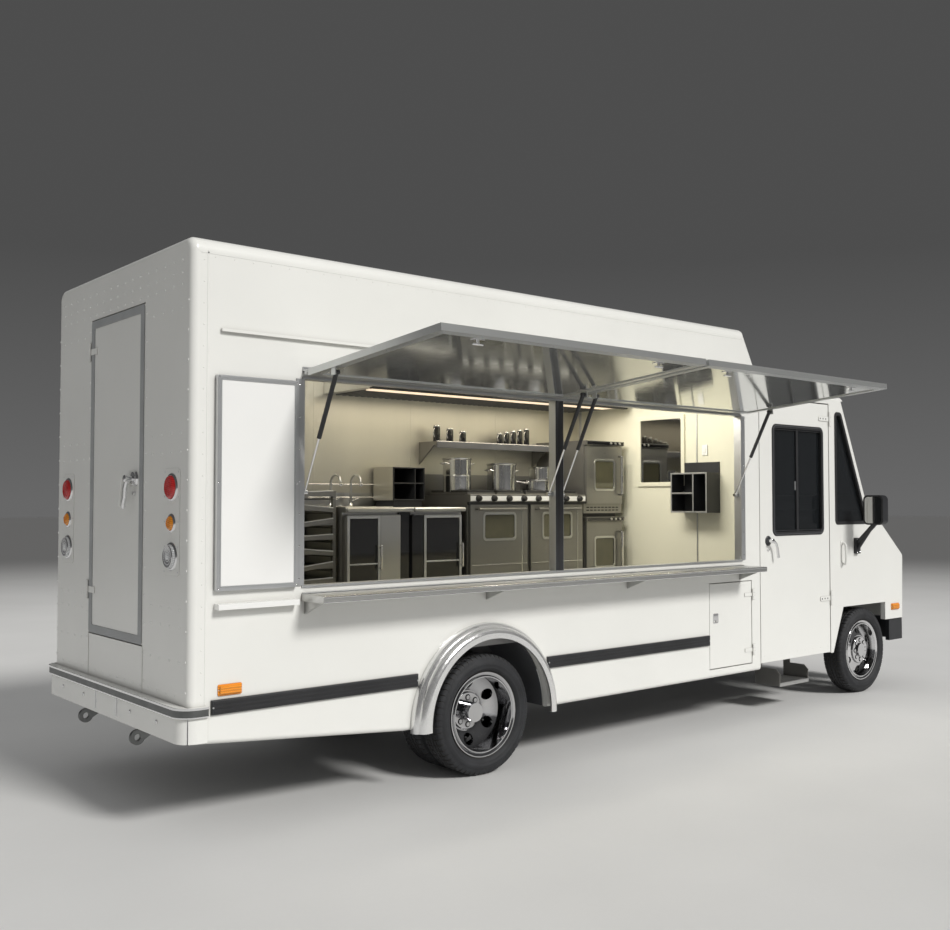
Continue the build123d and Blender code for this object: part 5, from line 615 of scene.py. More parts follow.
# Counter: a bright nosing, a top sheet with screws along it, and a ledge against the wall
COUNTER_X, COUNTER_TOP, COUNTER_EDGE = (706.0, 5030.0), 1300.0, SKIN - 250
nose = Piece("counter_nosing")
for z, r in ((1293, 5.0), (1264, 4.0)):
    nose.bar(*[(x, COUNTER_EDGE + 2, z) for x in wider(COUNTER_X, -2)], r, "chrome", 10)
sheet_y = (COUNTER_EDGE + 34, SKIN - 30)
nose.box(wider(COUNTER_X, -30), sheet_y, near(COUNTER_TOP, -0.5, 1.2), "stainless", 0.5)
spots = [(x, COUNTER_EDGE + 20, COUNTER_TOP) for x in steps(*wider(COUNTER_X, -25), 205)]
nose.rivets(spots, UP, "chrome", 5, 1.6)
nose.box(wider(COUNTER_X, -4), (SKIN - 26, SKIN), near(COUNTER_TOP, 0, 7), "aluminium", 2)
nose.done("stainless")

# Opening: the post's dark facing, and screws along the frame
POST_X = (2800.0, 2883.0)
post = Piece("post_facing")
post.box(wider(POST_X, -3), near(SKIN, -9.5, -7.5), (1350, 2575), "black_trim", 0.8)
post.box(wider(POST_X, -30), near(SKIN, -11.5, -9), (1352, 2573), "rubber", 1)
spots = [(x, SKIN - 8, z) for x in wider(COUNTER_X, 20) for z in steps(1390, 2540, 190)]
post.rivets(spots, RIGHT, "chrome", 5, 2)
post.done("black_trim")

# Rub rails: a grooved face with capped ends, open at the wheel flares
RUB_Z, RUB_FACE, RUB_GROOVES = 701.0, SKIN - 18, 23.0
FLARE_R, RUB_OVER_HUB = 628.0, 260.0
chord = math.sqrt(FLARE_R ** 2 - RUB_OVER_HUB ** 2) + 4
for side, place in SIDES:
    rub = Piece(f"{side}_rub_face", place)
    last = 4566 if side == "right" else 5265
    for x in ((132, REAR_WHEEL[0] - chord), (REAR_WHEEL[0] + chord, last)):
        for z in (RUB_Z - RUB_GROOVES, RUB_Z, RUB_Z + RUB_GROOVES):
            rub.box(wider(x, -14), near(RUB_FACE, -2.5, 1), near(z, 7), "rubber", 2)
        for end in wider(x, -9):
            rub.lathe([(6, 0), (5, 2.5), (0, 3)], (end, RUB_FACE, RUB_Z), RIGHT, "aluminium", 10)
    rub.done("black_trim")

# Side markers: an amber foot and a lens with ribs
MARKER_Z = 792.0
for side, place in SIDES:
    marker = Piece(f"{side}_markers", place)
    for x in (247.0, 7570.0):
        marker.rim(near(x, 62), near(MARKER_Z, 20), "y", near(SKIN, -7, 1), "amber_lens", (12, 9), (0, 4), 2)
        marker.rivets([(end, SKIN - 7, MARKER_Z) for end in near(x, 68)], RIGHT, "aluminium", 4, 2)
        for rib in steps(x - 54, x + 54, 12):
            marker.box(near(rib, 2), near(SKIN, -21.5, -18), near(MARKER_Z, 17), "amber_lens", 1)
    marker.done("black_trim")

# Access door: a paddle latch with a lock
latch = Piece("access_latch")
latch.rim((4625, 4695), (835, 915), "y", near(SKIN, -4, 1), "chrome", (0, 12), (-8, 8), 1)
latch.box((4634, 4686), near(SKIN, -6, 1), (858, 906), "chrome", 3)
latch.bar(*[(4660, y, 850) for y in near(SKIN, -6, 1)], 7, "stainless")
latch.done("chrome", "access_door")

# Cab doors: window rubbers with a sliding divider, handle, hinge straps, inner trim and grab rail
WIN_X, WIN_Z = (5500.0, 6275.0), (1560.0, 2516.0)
HANDLE_X, HANDLE_Z = 5412.0, 1500.0
GRAB_X, GRAB_Z = 6600.0, (1250.0, 1450.0)
for side, place in SIDES:
    body = f"{side}_cab_door"
    gasket = Piece(f"{side}_door_rubber", place)
    gasket.rim(WIN_X, WIN_Z, "y", near(SKIN, -6, 20), "rubber", (20, 60), (-16, 32), 3, 8)
    gasket.rim(WIN_X, WIN_Z, "y", near(SKIN, -8, -5), "seal_grey", (8, 50), (3, 46), n=8)
    middle = sum(WIN_X) / 2
    gasket.box(near(middle, 16), near(SKIN, 8, 24), wider(WIN_Z, -14), "rubber", 3)
    gasket.box(near(middle, -34, -18), near(SKIN, 14, 21), (1950, 2030), "aluminium", 2)
    for z in (WIN_Z[0] + 20, WIN_Z[1] - 30):
        gasket.box(wider(WIN_X, -14), near(SKIN, 6, 20), near(z, 0, 10), "black_trim", 2)
    gasket.done("black_trim", body)

    handle = Piece(f"{side}_door_handle", place)
    rose = [(44, 0), (44, 3), (38, 8), (24, 11), (0, 12)]
    handle.lathe(rose, (HANDLE_X, SKIN, HANDLE_Z), RIGHT, "black_trim", 36)
    neck = [(16, 0), (16, 34), (20, 37), (20, 48), (14, 52), (0, 52)]
    handle.lathe(neck, (HANDLE_X, SKIN - 8, HANDLE_Z), RIGHT, "chrome", 24)
    grip = [(0, 0), (22, -6), (48, -28), (66, -66), (74, -112), (82, -148)]
    handle.tube([(HANDLE_X + x, SKIN - 50, HANDLE_Z + z) for x, z in grip], 11, "chrome", 14)
    handle.bar(*[(HANDLE_X, y, HANDLE_Z - 78) for y in near(SKIN, -9, 1)], 12, "chrome", 20)
    handle.done("chrome", body)

    trim = Piece(f"{side}_door_trim", place)
    trim.rivets([(x, SKIN, 500) for x in steps(5345, 6345, 125)], RIGHT, "white_paint", 4.5, 2)
    for z in (944, 2619):
        trim.prism(rounded((6222, 6372), near(z, 21), 14), "y", near(SKIN, -8, 1), "white_paint", edge=1.5)
        trim.rivets([(x, SKIN - 8, z) for x in (6246, 6292, 6338)], RIGHT, "zinc", 8, 3)
    trim.box((5340, 6350), near(-INNER, -1, 14), (700, 1480), "dash_plastic", 6)
    trim.box((5700, 6150), near(-INNER, 10, 48), (1400, 1440), "seat_vinyl", 8)
    trim.done("aluminium", body)

    grab = Piece(f"{side}_grab_rail", place)
    bend = [(1, 0), (-34, 3), (-46, 25), (-46, 175), (-34, 197), (1, 200)]
    grab.tube([(GRAB_X, SKIN + y, GRAB_Z[0] + z) for y, z in bend], 11, "white_paint", 12)
    for z in GRAB_Z:
        grab.lathe([(26, 0), (26, 3), (20, 7), (11, 8)], (GRAB_X, SKIN, z), RIGHT, "white_paint", 24)
    grab.done("white_paint")

# Cab front: windscreen and quarter-window rubbers, wipers, bonnet lines and lamps
CAB_TOP, COWL, NOSE_TOP, NOSE_FOOT = (6638.2, 2800.0), (7063.0, 1868.0), (7762.0, 1311.0), (7745.0, 673.0)


def slope(a, b):
    """Frame on a sloping panel of the nose: x across to the left, y up the slope, z out of the panel."""
    run = Vector((a[0] - b[0], 0, a[1] - b[1])).normalized()
    across = Vector((0, 1, 0))
    middle = Vector(((a[0] + b[0]) / 2, 0, (a[1] + b[1]) / 2))
    return Matrix.Translation(middle) @ Matrix((across, run, across.cross(run))).transposed().to_4x4()


SCREEN, BONNET, NOSE = slope(CAB_TOP, COWL), slope(COWL, NOSE_TOP), slope(NOSE_TOP, NOSE_FOOT)
PANE_HALF = (math.dist(CAB_TOP, COWL) - 120) / 2
screen = Piece("windscreen_rubber", SCREEN)
for way in (-1, 1):
    pane = sorted((way * 30, way * 945)), near(0, PANE_HALF)
    screen.rim(*pane, "z", (-18, 5), "rubber", (16, 58), (-14, 32), 3, 8)
    screen.rim(*pane, "z", (4, 7), "chrome", (5, 49), (1, 45), n=8)
    px, py = way * 330, -PANE_HALF - 45
    screen.lathe([(20, 0), (20, 14), (12, 22), (0, 24)], (px, py, 0), UP, "black_trim", 20)
    hook = (px + 290, -PANE_HALF + 160)
    screen.tube([(px, py, 20), (px + 140, py + 100, 22), (*hook, 10)], 7, "black_trim", 8)
    blade = [(hook[0] + t * 0.62, hook[1] - t * 0.78, -8) for t in steps(-280, 280, 140)]
    screen.tube(blade, 8, "rubber", 8)
    screen.tube([(x, y, z + 10) for x, y, z in blade[1:-1]], 4, "black_trim", 6)
screen.done("black_trim")

QUARTER = [(6507.0, 1640.0), (7060.0, 1640.0), (6595.0, 2680.0), (6507.0, 2680.0)]
for side, place in SIDES:
    quarter = Piece(f"{side}_quarter_rubber", place)
    outer, inner = [rounded_polygon(grown(QUARTER, d), r, 8) for d, r in ((14, 44), (-16, 26))]
    quarter.prism(outer, "y", near(SKIN, -6, 20), "rubber", inner, 3)
    quarter.done("black_trim")

bonnet = Piece("bonnet_lines", BONNET)
BONNET_HALF, LID_HALF = math.dist(COWL, NOSE_TOP) / 2, 840
for x in (-LID_HALF, LID_HALF):
    bonnet.box(near(x, 3), (-BONNET_HALF + 30, BONNET_HALF - 90), (-0.5, 1.5), "seal_grey", 0.5)
bonnet.box((-LID_HALF, LID_HALF), near(BONNET_HALF, -93, -87), (-0.5, 1.5), "seal_grey", 0.5)
for x in steps(-520, 520, 26):
    bonnet.box(near(x, 7), near(BONNET_HALF, -70, -22), (-0.5, 4), "black_trim", 2)
bonnet.box((-70, 70), near(-BONNET_HALF, 50, 74), (0, 20), "chrome", 5)
bonnet.done("white_paint")

front = Piece("nose_fittings", NOSE)
LAMP_X, LAMP_Y, LAMP_Z = 7752, 760, 960
to_nose = NOSE.inverted()
for way in (-1, 1):
    for z, r, depth, mat in ((LAMP_Z, 95, 40, "clear_lens"), (790, 45, 25, "amber_lens")):
        x, y, _ = to_nose @ Vector((LAMP_X, way * LAMP_Y, z))
        bezel = [(r + 24, 0), (r + 23, 6), (r + 13, 14), (r + 3, 16), (r + 1, 8), (r + 1, 0)]
        front.lathe(bezel, (x, y, 0), UP, "chrome", 44)
        for share, sunk in ((0.35, 1), (0.6, 1), (0.85, 9)):
            front.lathe(ridge(r * share, 3, 2, 2), (x, y, depth - sunk), UP, mat, 40)
grille_y = (to_nose @ Vector((LAMP_X, 0, LAMP_Z))).y
front.prism(rounded((-512, 512), near(grille_y, 160), 12), "z", (-34, -31), "black_trim",
            rounded((-2, 2), near(grille_y, 2), 1))
front.rim((-545, 545), near(grille_y, 195), "z", (-1, 7), "chrome", (0, 24), (-26, 8), 2)
front.done("chrome")

PLATE_Y, PLATE_Z, FRONT_FACE = (-148, 148), (497, 635), 7800
plate = Piece("front_plate")
holder = rounded(wider(PLATE_Y, 7), wider(PLATE_Z, 7), 12)
plate.prism(holder, "x", near(FRONT_FACE, -1, 4), "black_trim", edge=1.5)
plate.prism(rounded(PLATE_Y, PLATE_Z, 10), "x", near(FRONT_FACE, 3, 6), "board_white", edge=1)
plate.rivets([(FRONT_FACE + 6, y, z) for y in (-120, 120) for z in (512, 620)], AHEAD, "chrome", 6, 2)
for y in (-700, -420, 420, 700):
    plate.lathe([(15, 0), (15, 6), (10, 9), (0, 10)], (FRONT_FACE, y, 560), AHEAD, "chrome", 6)
for y in ((-900, -200), (200, 900)):
    plate.box(near(FRONT_FACE, 3), y, (640, 655), "rubber", 2)
plate.done("black_trim")

# Mirrors: glass in a rim, and the arms' clamps
GLASS_Y, GLASS_Z, GLASS_X = near(SKIN - 250, 84), near(1765, 124), 6732.5
for side, place in SIDES:
    mirror = Piece(f"{side}_mirror_glass", place)
    mirror.rim(GLASS_Y, GLASS_Z, "x", near(GLASS_X, -3, 1), "rubber", (12, 44), (0, 34), 1.2, 8)
    mirror.prism(rounded(GLASS_Y, GLASS_Z, 34, 8), "x", near(GLASS_X, -1.5, 1), "tinted_mirror")
    mirror.bar(*[(6850, SKIN - 15, z) for z in (1400, 1452)], 26, "black_trim", 18, 4)
    spots = [(x, SKIN - 30, z) for x in (6828, 6872) for z in (1360, 1480)]
    mirror.rivets(spots, RIGHT, "chrome", 7, 4)
    mirror.done("black_trim")

# Entry steps: raised grips on both treads
for side, place in SIDES:
    step = Piece(f"{side}_step_grips", place)
    for x in steps(5620, 6010, 36):
        for k, y in enumerate(steps(-1035, -820, 36)):
            step.box(near(x + 8 * (k % 2), -10, 8), near(y, 4), (234, 238), "aluminium", 1.5)
    for x in steps(5360, 6230, 52):
        for y in steps(-990, -680, 48):
            step.box(near(x, -14, 12), near(y, 4), (469, 473), "aluminium", 1.5)
    step.box((5590, 6040), (-1058, -1048), (203, 238), "stainless", 3)
    step.done("aluminium")

# Tyres: ribs on the walls, grooves round the tread and sipes across it, in the solid tyre's own form
TYRE_R, TYRE_W = 405.0, 107.5
RIM_R, BEAD_R, BEAD_Y = 285.0, 262.0, 66.0
PITCHES, LEAN = 60, 0.35
STATIONS = ((0.0, 1), (0.16, 1), (0.20, 0), (0.96, 0))      # share of a pitch, and 1 in the sipe
GROOVES = (46.0, 16.0, -16.0, -46.0)
GROOVE_HALF, GROOVE_DEEP, SIPE_DEEP = 4.5, 9.0, 6.5
TYRE_SHARP = math.radians(38)


def tyre_profile():
    """Section as (radius, y, kind), from one bead over the tread to the other: 0 wall, 1 tread, 2 groove."""
    half = [(BEAD_R, BEAD_Y, 0), (RIM_R + 3, BEAD_Y + 6, 0)]
    wall = ((292, 80), (300, 92), (312, 99), (316, 101.5), (319, 101.5), (322, 102), (334, 106), (337, 107.4),
            (342, 107.4), (345, 106.6), (356, 105.2), (359, 103), (367, 98.5))
    half += [(r, y, 0) for r, y in wall]
    half += [(378, 96, 1), (390, 91.5, 1), (398, 85, 1), (403, 77, 1), (TYRE_R, 69.5, 1)]
    tread = []
    for g in GROOVES:
        tread += [(TYRE_R, g + GROOVE_HALF, 1), (TYRE_R - GROOVE_DEEP, g + GROOVE_HALF - 1, 2),
                  (TYRE_R - GROOVE_DEEP, g - GROOVE_HALF + 1, 2), (TYRE_R, g - GROOVE_HALF, 1)]
    return half + tread + [(r, -y, t) for r, y, t in half[::-1]]


def add_tyre(piece, x, y, z):
    """One tyre about a level axle: four stations to a tread pitch, two of them in the sipe."""
    profile = tyre_profile()
    verts = []
    stations = [(p + share, deep) for p in range(PITCHES) for share, deep in STATIONS]
    for share, deep in stations:
        for r, w, kind in profile:
            lean = LEAN * w / TYRE_W if kind else 0
            a = 2 * math.pi * (share + lean) / PITCHES
            cut = SIPE_DEEP * min(1, (r - 372) / 20) if kind == 1 and deep and abs(w) > 20 else 0
            verts.append((x + (r - cut) * math.cos(a), y + w, z + (r - cut) * math.sin(a)))
    piece.add(verts, quads(len(stations), len(profile), True), "tyre")


for side, place in SIDES:
    tyre = Piece(f"{side}_front_tread", place)
    add_tyre(tyre, *FRONT_WHEEL)
    tyre.done("tyre", f"{side}_front_wheel", [f"{side}_front_tyre"], TYRE_SHARP, False)
    pair = Piece(f"{side}_rear_treads", place)
    for y in near(REAR_WHEEL[1], 122.5):
        add_tyre(pair, REAR_WHEEL[0], y, REAR_WHEEL[2])
    pair.done("tyre", f"{side}_rear_wheel", [f"{side}_rear_tyres"], TYRE_SHARP, False)

# Rear wheel houses: curved splash panels before and behind the wheels, up to the floor
HOUSE_R, HOUSE_SHEET, HOUSE_Z, HOUSE_SWEEP = 575.0, 4.0, 400.0, (-1.0, 52.0)
for side, place in SIDES:
    house = Piece(f"{side}_wheel_house", place)
    for way in (-1, 1):
        turns = [math.radians(a) for a in steps(*HOUSE_SWEEP, 4)]
        line, back = [[(REAR_WHEEL[0] + r * way * math.cos(t), HOUSE_Z + r * math.sin(t)) for t in turns]
                      for r in (HOUSE_R, HOUSE_R + HOUSE_SHEET)]
        house.strip(line, back, (-INNER + 0.5, -600), "seal_grey")
        for share in (0.12, 0.5, 0.88):
            k = round(share * (len(line) - 1))
            foot = back[k:k + 2]
            house.strip(foot, [(x + 8 * way, z + 2) for x, z in foot], (-INNER + 30, -620), "seal_grey")
    house.done("black_trim")

# Hatches: a mirror-bright lining, a white outer skin, edge beads, rivets and latches
LIFT = Matrix.Translation((0, SKIN - 40, 2614.0)) @ Matrix.Rotation(math.radians(-5), 4, "X")
REACH, HATCH_EDGE, HATCH_RIM = 1300.0, 22.0, 48.0
UNDER, FACE, RECESS, LATCH_IN = -25.0, 15.0, 8.0, 110.0
HATCHES = {"rear": (706.0, 2826.5), "front": (2856.5, 5030.0)}
for name, x in HATCHES.items():
    body = f"hatch_{name}"
    panel = wider(x, -HATCH_RIM), (-REACH + HATCH_RIM, -HATCH_EDGE - HATCH_RIM)
    base = UNDER + RECESS - 3
    lining = Piece(f"hatch_lining_{name}", LIFT)
    lining.box(*[wider(pair, -1) for pair in panel], near(base, 0, 3.5), "polished", 1)
    lining.done("chrome", body)

    bead = Piece(f"hatch_beads_{name}", LIFT)
    bead.rim(*panel, "z", (UNDER - 1.5, base + 1), "frame_alloy", (4, 6), (-10, 4), 1.5)
    for y in (-REACH + 16, -REACH + HATCH_RIM - 14):
        bead.box(wider(x, -8), near(y, 2.5), near(UNDER, -1.5, 1), "aluminium", 1)
    spots = [(at, -REACH + 24, UNDER) for at in steps(*wider(x, -40), 260)]
    spots += [(at, y, UNDER) for at in wider(x, -24) for y in steps(-REACH + 60, -120, 230)]
    bead.rivets(spots, DOWN, "chrome", 5, 1.5)
    y = -REACH + LATCH_IN
    for at in wider(x, -330):
        bead.prism(rounded(near(at, 42), near(y, 20), 12), "z", near(base, -4, 1), "chrome", edge=1.2)
        bead.bar((at, y, base - 22), (at, y, base), 9, "chrome")
        bead.box(near(at, 36), near(y, 8), near(base, -30, -20), "chrome", 4)
    bead.done("aluminium", body)

    skin = Piece(f"hatch_skin_{name}", LIFT)
    skin.box(wider(x, -6), (-REACH + 6, -HATCH_EDGE - 10), near(FACE, -0.5, 2), "white_paint", 0.8)
    spots = [(at, y, FACE + 2) for at in steps(*wider(x, -30), 150) for y in (-REACH + 28, -HATCH_EDGE - 34)]
    spots += [(at, y, FACE + 2) for at in wider(x, -26) for y in steps(-REACH + 100, -120, 150)]
    skin.rivets(spots, UP, "white_paint", 5, 2)
    skin.box(near(sum(x) / 2, 4), (-REACH + 10, -HATCH_EDGE - 14), near(FACE, 1, 3.2), "white_paint", 0.8)
    skin.done("white_paint", body)

# Kitchen shell: steel sheets on the back wall, ceiling boards, and the partition's fittings
SHEET_Z = (FLOOR_Z, 3225.0)
sheets = steps(60, 5065, 1080)
lining = Piece("back_wall_sheets")
for a, b in zip(sheets, sheets[1:]):
    lining.box((a + 1.5, b - 1.5), near(INNER, -2.5, 0.5), SHEET_Z, "lining_steel", 0.8)
    lining.box(near(b, 9), near(INNER, -4, 0), SHEET_Z, "lining_steel", 1)
spots = [(x, INNER - 4, z) for x in sheets[1:-1] for z in steps(1850, 3180, 130)]
lining.rivets(spots, RIGHT, "stainless", 4, 1.5)
lining.box((5067, 5190), near(INNER, -2.5, 0.5), (FLOOR_Z, 3000), "lining_steel", 0.8)
lining.done("cream")

ceiling = Piece("ceiling_sheets")
boards = steps(60, 5050, 1250)
for x in zip(boards, boards[1:]):
    ceiling.box(wider(x, -2), (-960, 960), (3280.5, 3284.5), "cream", 1)
for x in (1300, 3500):
    ceiling.prism(rounded(near(x, 620), (-330, -210), 20), "z", (3240, 3281), "aluminium", edge=4)
    ceiling.prism(rounded(near(x, 605), (-320, -220), 14), "z", (3236, 3242), "warm_light", edge=2)
ceiling.done("cream")

OPENING_X, LINING_TOP = (702, 5034), 3230
front_lining = Piece("serving_wall_sheets")
for x, z in (((60, 700), (FLOOR_Z, LINING_TOP)), ((5036, 5196), (FLOOR_Z, 3080)),
             (OPENING_X, (FLOOR_Z, 1333)), (OPENING_X, (2592, LINING_TOP))):
    front_lining.box(x, near(-INNER, -0.5, 2.5), z, "cream", 0.8)
front_lining.done("cream")

PART_X, PART_TOP = 5200.0, 3010.0
PANE_Y, PANE_Z = (-300.0, 200.0), (2021.0, 2620.0)
fittings = Piece("partition_fittings")
fittings.rim(PANE_Y, PANE_Z, "x", near(PART_X, -20, 0), "cream", (34, 10), (-6, 6), 3)
fittings.box(near(PART_X, -10.5, -8.2), wider(PANE_Y, -4), wider(PANE_Z, -4), "tinted_mirror", 0.4)
HOLES_X, HOLES_Y, HOLES_Z, BOARD = PART_X - 190.3, (-720.0, -315.0), (1745.0, 2104.0), 14.0
HOLES_SPLIT, HOLES_SHELF = -574.2, 1912.5
edges = [(HOLES_Y, near(z, 0, BOARD)) for z in (HOLES_Z[0], HOLES_Z[1] - BOARD)]
edges += [(near(y, 0, BOARD), wider(HOLES_Z, -BOARD)) for y in (HOLES_Y[0], HOLES_SPLIT, HOLES_Y[1] - BOARD)]
edges.append(((HOLES_SPLIT + BOARD, HOLES_Y[1] - BOARD), near(HOLES_SHELF, 0, BOARD)))
for y, z in edges:
    fittings.box(near(HOLES_X, -2.5, 0), y, z, "aluminium", 0.8)
fittings.box(near(PART_X, -8, 0), (-474, -462), (FLOOR_Z, PART_TOP), "aluminium", 2)
fittings.prism(rounded((-590, -530), (2262, 2358), 8), "x", near(PART_X, -12, 0), "board_white", edge=2)
fittings.box(near(PART_X, -17, -11), (-572, -548), (2288, 2332), "board_white", 2)
for y in (-1005, 1005):
    fittings.box(near(PART_X, -6, 0), near(y, 14), (FLOOR_Z, PART_TOP), "aluminium", 2)
fittings.box(near(PART_X, -9, 0), (-1010, 1010), near(FLOOR_Z, 0, 100), "stainless", 2)
fittings.done("cream")

# Range: knob band, knobs, dark strip, oven windows, drawer line, vents and iron grates
LINE_FRONT = 380.0
OVEN_DOOR, BAND_Y = LINE_FRONT - 26, LINE_FRONT - 45
KNOB_Z, KNOBS, WINDOW_Z, GRATE_Z = 1872.0, 8, 1630.0, (1925.0, 1944.0)
RANGE_X = (3179.0, 4572.0)
RANGE_WIDE = RANGE_X[1] - RANGE_X[0]


def oven_window(piece, x, z, r, outer):
    """An oven's glass, and the bright frame round it."""
    piece.prism(rounded(x, z, r), "y", near(OVEN_DOOR, 4, 9), "oven_glass")
    piece.rim(x, z, "y", near(OVEN_DOOR, -5, 1), "stainless", outer, (2, r - 2), 2)


cook = Piece("range_fittings")
cook.box(wider(RANGE_X, -2), near(BAND_Y, -3, 1), near(KNOB_Z, 21), "board_white", 1.2)
knob = [(29, 0), (29, 5), (22, 8), (21.5, 30), (18, 34), (0, 34)]
for i in range(KNOBS):
    x = RANGE_X[0] + RANGE_WIDE * (i + 0.5) / KNOBS
    cook.lathe(knob, (x, BAND_Y - 2, KNOB_Z), RIGHT, "iron", 24)
    cook.box(near(x, 3), near(BAND_Y, -41, -30), near(KNOB_Z, 19), "iron", 1.5)
cook.box(wider(RANGE_X, -4), near(LINE_FRONT, -30, 1), (1818, 1843), "black_trim", 3)
for i in range(2):
    x = near(RANGE_X[0] + i * RANGE_WIDE / 2, 20, RANGE_WIDE / 2 - 20)
    oven_window(cook, near(sum(x) / 2, 168), near(WINDOW_Z, 100), 22, (24, 36))
    cook.box(wider(x, -8), near(OVEN_DOOR, -3, 0), (1300, 1306), "chrome", 1)
    cook.box(near(x[1], -70, -64), near(OVEN_DOOR, -3, 0), (1230, 1790), "chrome", 1)
    cook.prism(rounded(wider(x, -24), (1020, 1186), 10), "y", near(LINE_FRONT, -4, 1), "range_steel",
               rounded(wider(x, -46), (1036, 1170), 6), 1.5)
    for z in steps(1052, 1154, 34):
        cook.box(wider(x, -70), near(LINE_FRONT, 8, 11.9), near(z, 6), "iron", 1)
for i in range(4):
    x = near(RANGE_X[0] + 30 + i * (RANGE_WIDE - 40) / 4, 0, RANGE_WIDE / 4 - 30)
    cx = sum(x) / 2
    for cy in (545, 800):
        for r in (32, 60):
            cook.lathe(ridge(r, 6, 4, 9), (cx, cy, GRATE_Z[0] - 1), UP, "iron", 24)
        for k in range(8):
            arm = (118 * math.cos(math.pi * k / 4), 110 * math.sin(math.pi * k / 4))
            ends = [(cx + arm[0] * share, cy + arm[1] * share, GRATE_Z[1] - 6) for share in (0.3, 1)]
            cook.bar(*ends, 6, "iron", 6)
    cook.rim(wider(x, -8), (LINE_FRONT + 36, 934), "z", GRATE_Z, "iron", (0, 16), (-14, 10), 2)
cook.box(RANGE_X, near(LINE_FRONT, -46, 30), (1900, 1908), "range_steel", 3)
cook.done("stainless")

# Stacked ovens: windows, control strip, vents and bar handles
OVEN_X = (4592.0, 5112.0)
stack = Piece("oven_fittings")
for low, high in ((1000.0, 1700.0), (1735.0, 2417.0)):
    oven_window(stack, near(sum(OVEN_X) / 2, 123), near((low + high) / 2 + 20, 128), 24, (23, 40))
    for k in range(9):
        for z in (low + 24, low + 50):
            slit = near(OVEN_X[0] + 40 + k * 50, 0, 34)
            stack.box(slit, near(LINE_FRONT, -3, 1), near(z, 0, 10), "iron", 1)
    stack.box(wider(OVEN_X, -14), near(LINE_FRONT, -44, -39), near(high, -36, -5), "dark_glass", 1)
    for k in range(3):
        spot = (OVEN_X[0] + 330 + k * 60, LINE_FRONT - 44, high - 20)
        stack.lathe([(12, 0), (11, 10), (0, 12)], spot, RIGHT, "stainless", 16)
    ends = [(OVEN_X[1] - 60, OVEN_DOOR - 40, z) for z in (low + 180, high - 140)]
    stack.bar(*ends, 14, "chrome", 16, 4)
stack.box(wider(OVEN_X, -22), near(LINE_FRONT, 52, 61), (1702, 1733), "black_trim", 1)
stack.done("stainless")

# Sink counter: dark glass doors in bright frames, bar handles, a bullnose, taps, rails and the pigeonhole box
SINK_X, SINK_TOP, CABINET_Z = (1953.0, 3146.0), 1800.0, (1008.0, 1736.0)
PULL_Y, RAIL_Y, RAIL_Z = LINE_FRONT - 44, 985.0, (1880.0, 1990.0)
sink = Piece("sink_fittings")
for x in ((1969.0, 2282.0), (2716.0, 3112.0)):
    sink.box(x, near(LINE_FRONT, -5, 0.5), CABINET_Z, "dark_glass", 1.5)
    sink.rim(x, CABINET_Z, "y", near(LINE_FRONT, -12, -4), "aluminium", (0, 6), (-24, 4), 2)
    sink.box(wider(x, -24), near(LINE_FRONT, -10, -4), (1348, 1360), "aluminium", 2)
    pull_x = x[1] - 12
    sink.bar((pull_x, PULL_Y, 1300), (pull_x, PULL_Y, 1500), 8, "chrome", 12, 3)
    for z in (1320, 1480):
        sink.bar((pull_x, PULL_Y, z), (pull_x, LINE_FRONT - 11, z), 5, "chrome", 10)
sink.box((2286, 2480), near(LINE_FRONT, -9, 0.5), CABINET_Z, "stainless", 3)
sink.box((2600, 2712), near(LINE_FRONT, -5, 40.5), CABINET_Z, "dark_glass", 2)
for x in ((SINK_X[0], 2520), (2600, SINK_X[1])):
    sink.bar(*[(end, LINE_FRONT - 22, 1780) for end in wider(x, -6)], 20, "stainless", 20, 6)
sink.box((2482, 2598), near(LINE_FRONT, 20, 40.5), (1010, 1758), "dark_glass", 2)
sink.rim((2030, 2490), (470, 870), "z", near(SINK_TOP, -1, 6), "stainless", (0, 30), (-12, 22), 2)
tap_foot = [(30, 0), (30, 6), (20, 12), (16, 34), (12, 36)]
for x in (2172.0, 2370.0):
    sink.lathe(tap_foot, (x, 930, SINK_TOP), UP, "chrome", 24)
    sink.bar((x + 14, 930, 1850), (x + 70, 918, 1874), 6, "chrome", 10)
    sink.lathe([(14, 0), (15, 8), (13, 22), (11.6, 23)], (x, 780.4, 1972), UP, "chrome", 18)
for z in RAIL_Z:
    sink.bar((1990, RAIL_Y, z), (2900, RAIL_Y, z), 7, "chrome", 10)
for x in (2020, 2460, 2870):
    sink.bar((x, RAIL_Y, RAIL_Z[1]), (x, 1018, RAIL_Z[1]), 6, "chrome", 8)
CUBBY_X, CUBBY_Y, CUBBY_Z, CUBBY_BOARD = (2642.0, 2974.0), (700.0, 990.0), (1855.0, 2136.0), 10.0
sink.box(wider(CUBBY_X, -18), (CUBBY_Y[0] + 20, CUBBY_Y[1] - 5), (SINK_TOP, CUBBY_Z[0] + 1), "black_trim", 3)
for x in (CUBBY_X[0], CUBBY_X[0] + 225, CUBBY_X[1] - CUBBY_BOARD):
    sink.box(near(x, 0, CUBBY_BOARD), CUBBY_Y, CUBBY_Z, "black_trim", 2)
steel_y = (CUBBY_Y[0] + 8, CUBBY_Y[1])
sink.box(near(CUBBY_X[0], -3, 1), steel_y, CUBBY_Z, "lining_steel", 1)
sink.box((CUBBY_X[0] - 3, CUBBY_X[1]), steel_y, near(CUBBY_Z[1], -1, 3), "lining_steel", 1)
for z in (CUBBY_Z[0], sum(CUBBY_Z) / 2, CUBBY_Z[1] - CUBBY_BOARD):
    shelf_x, shelf_y = wider(CUBBY_X, -CUBBY_BOARD), (CUBBY_Y[0] + 1, CUBBY_Y[1])
    sink.box(shelf_x, shelf_y, near(z, 0, CUBBY_BOARD), "black_trim", 2)
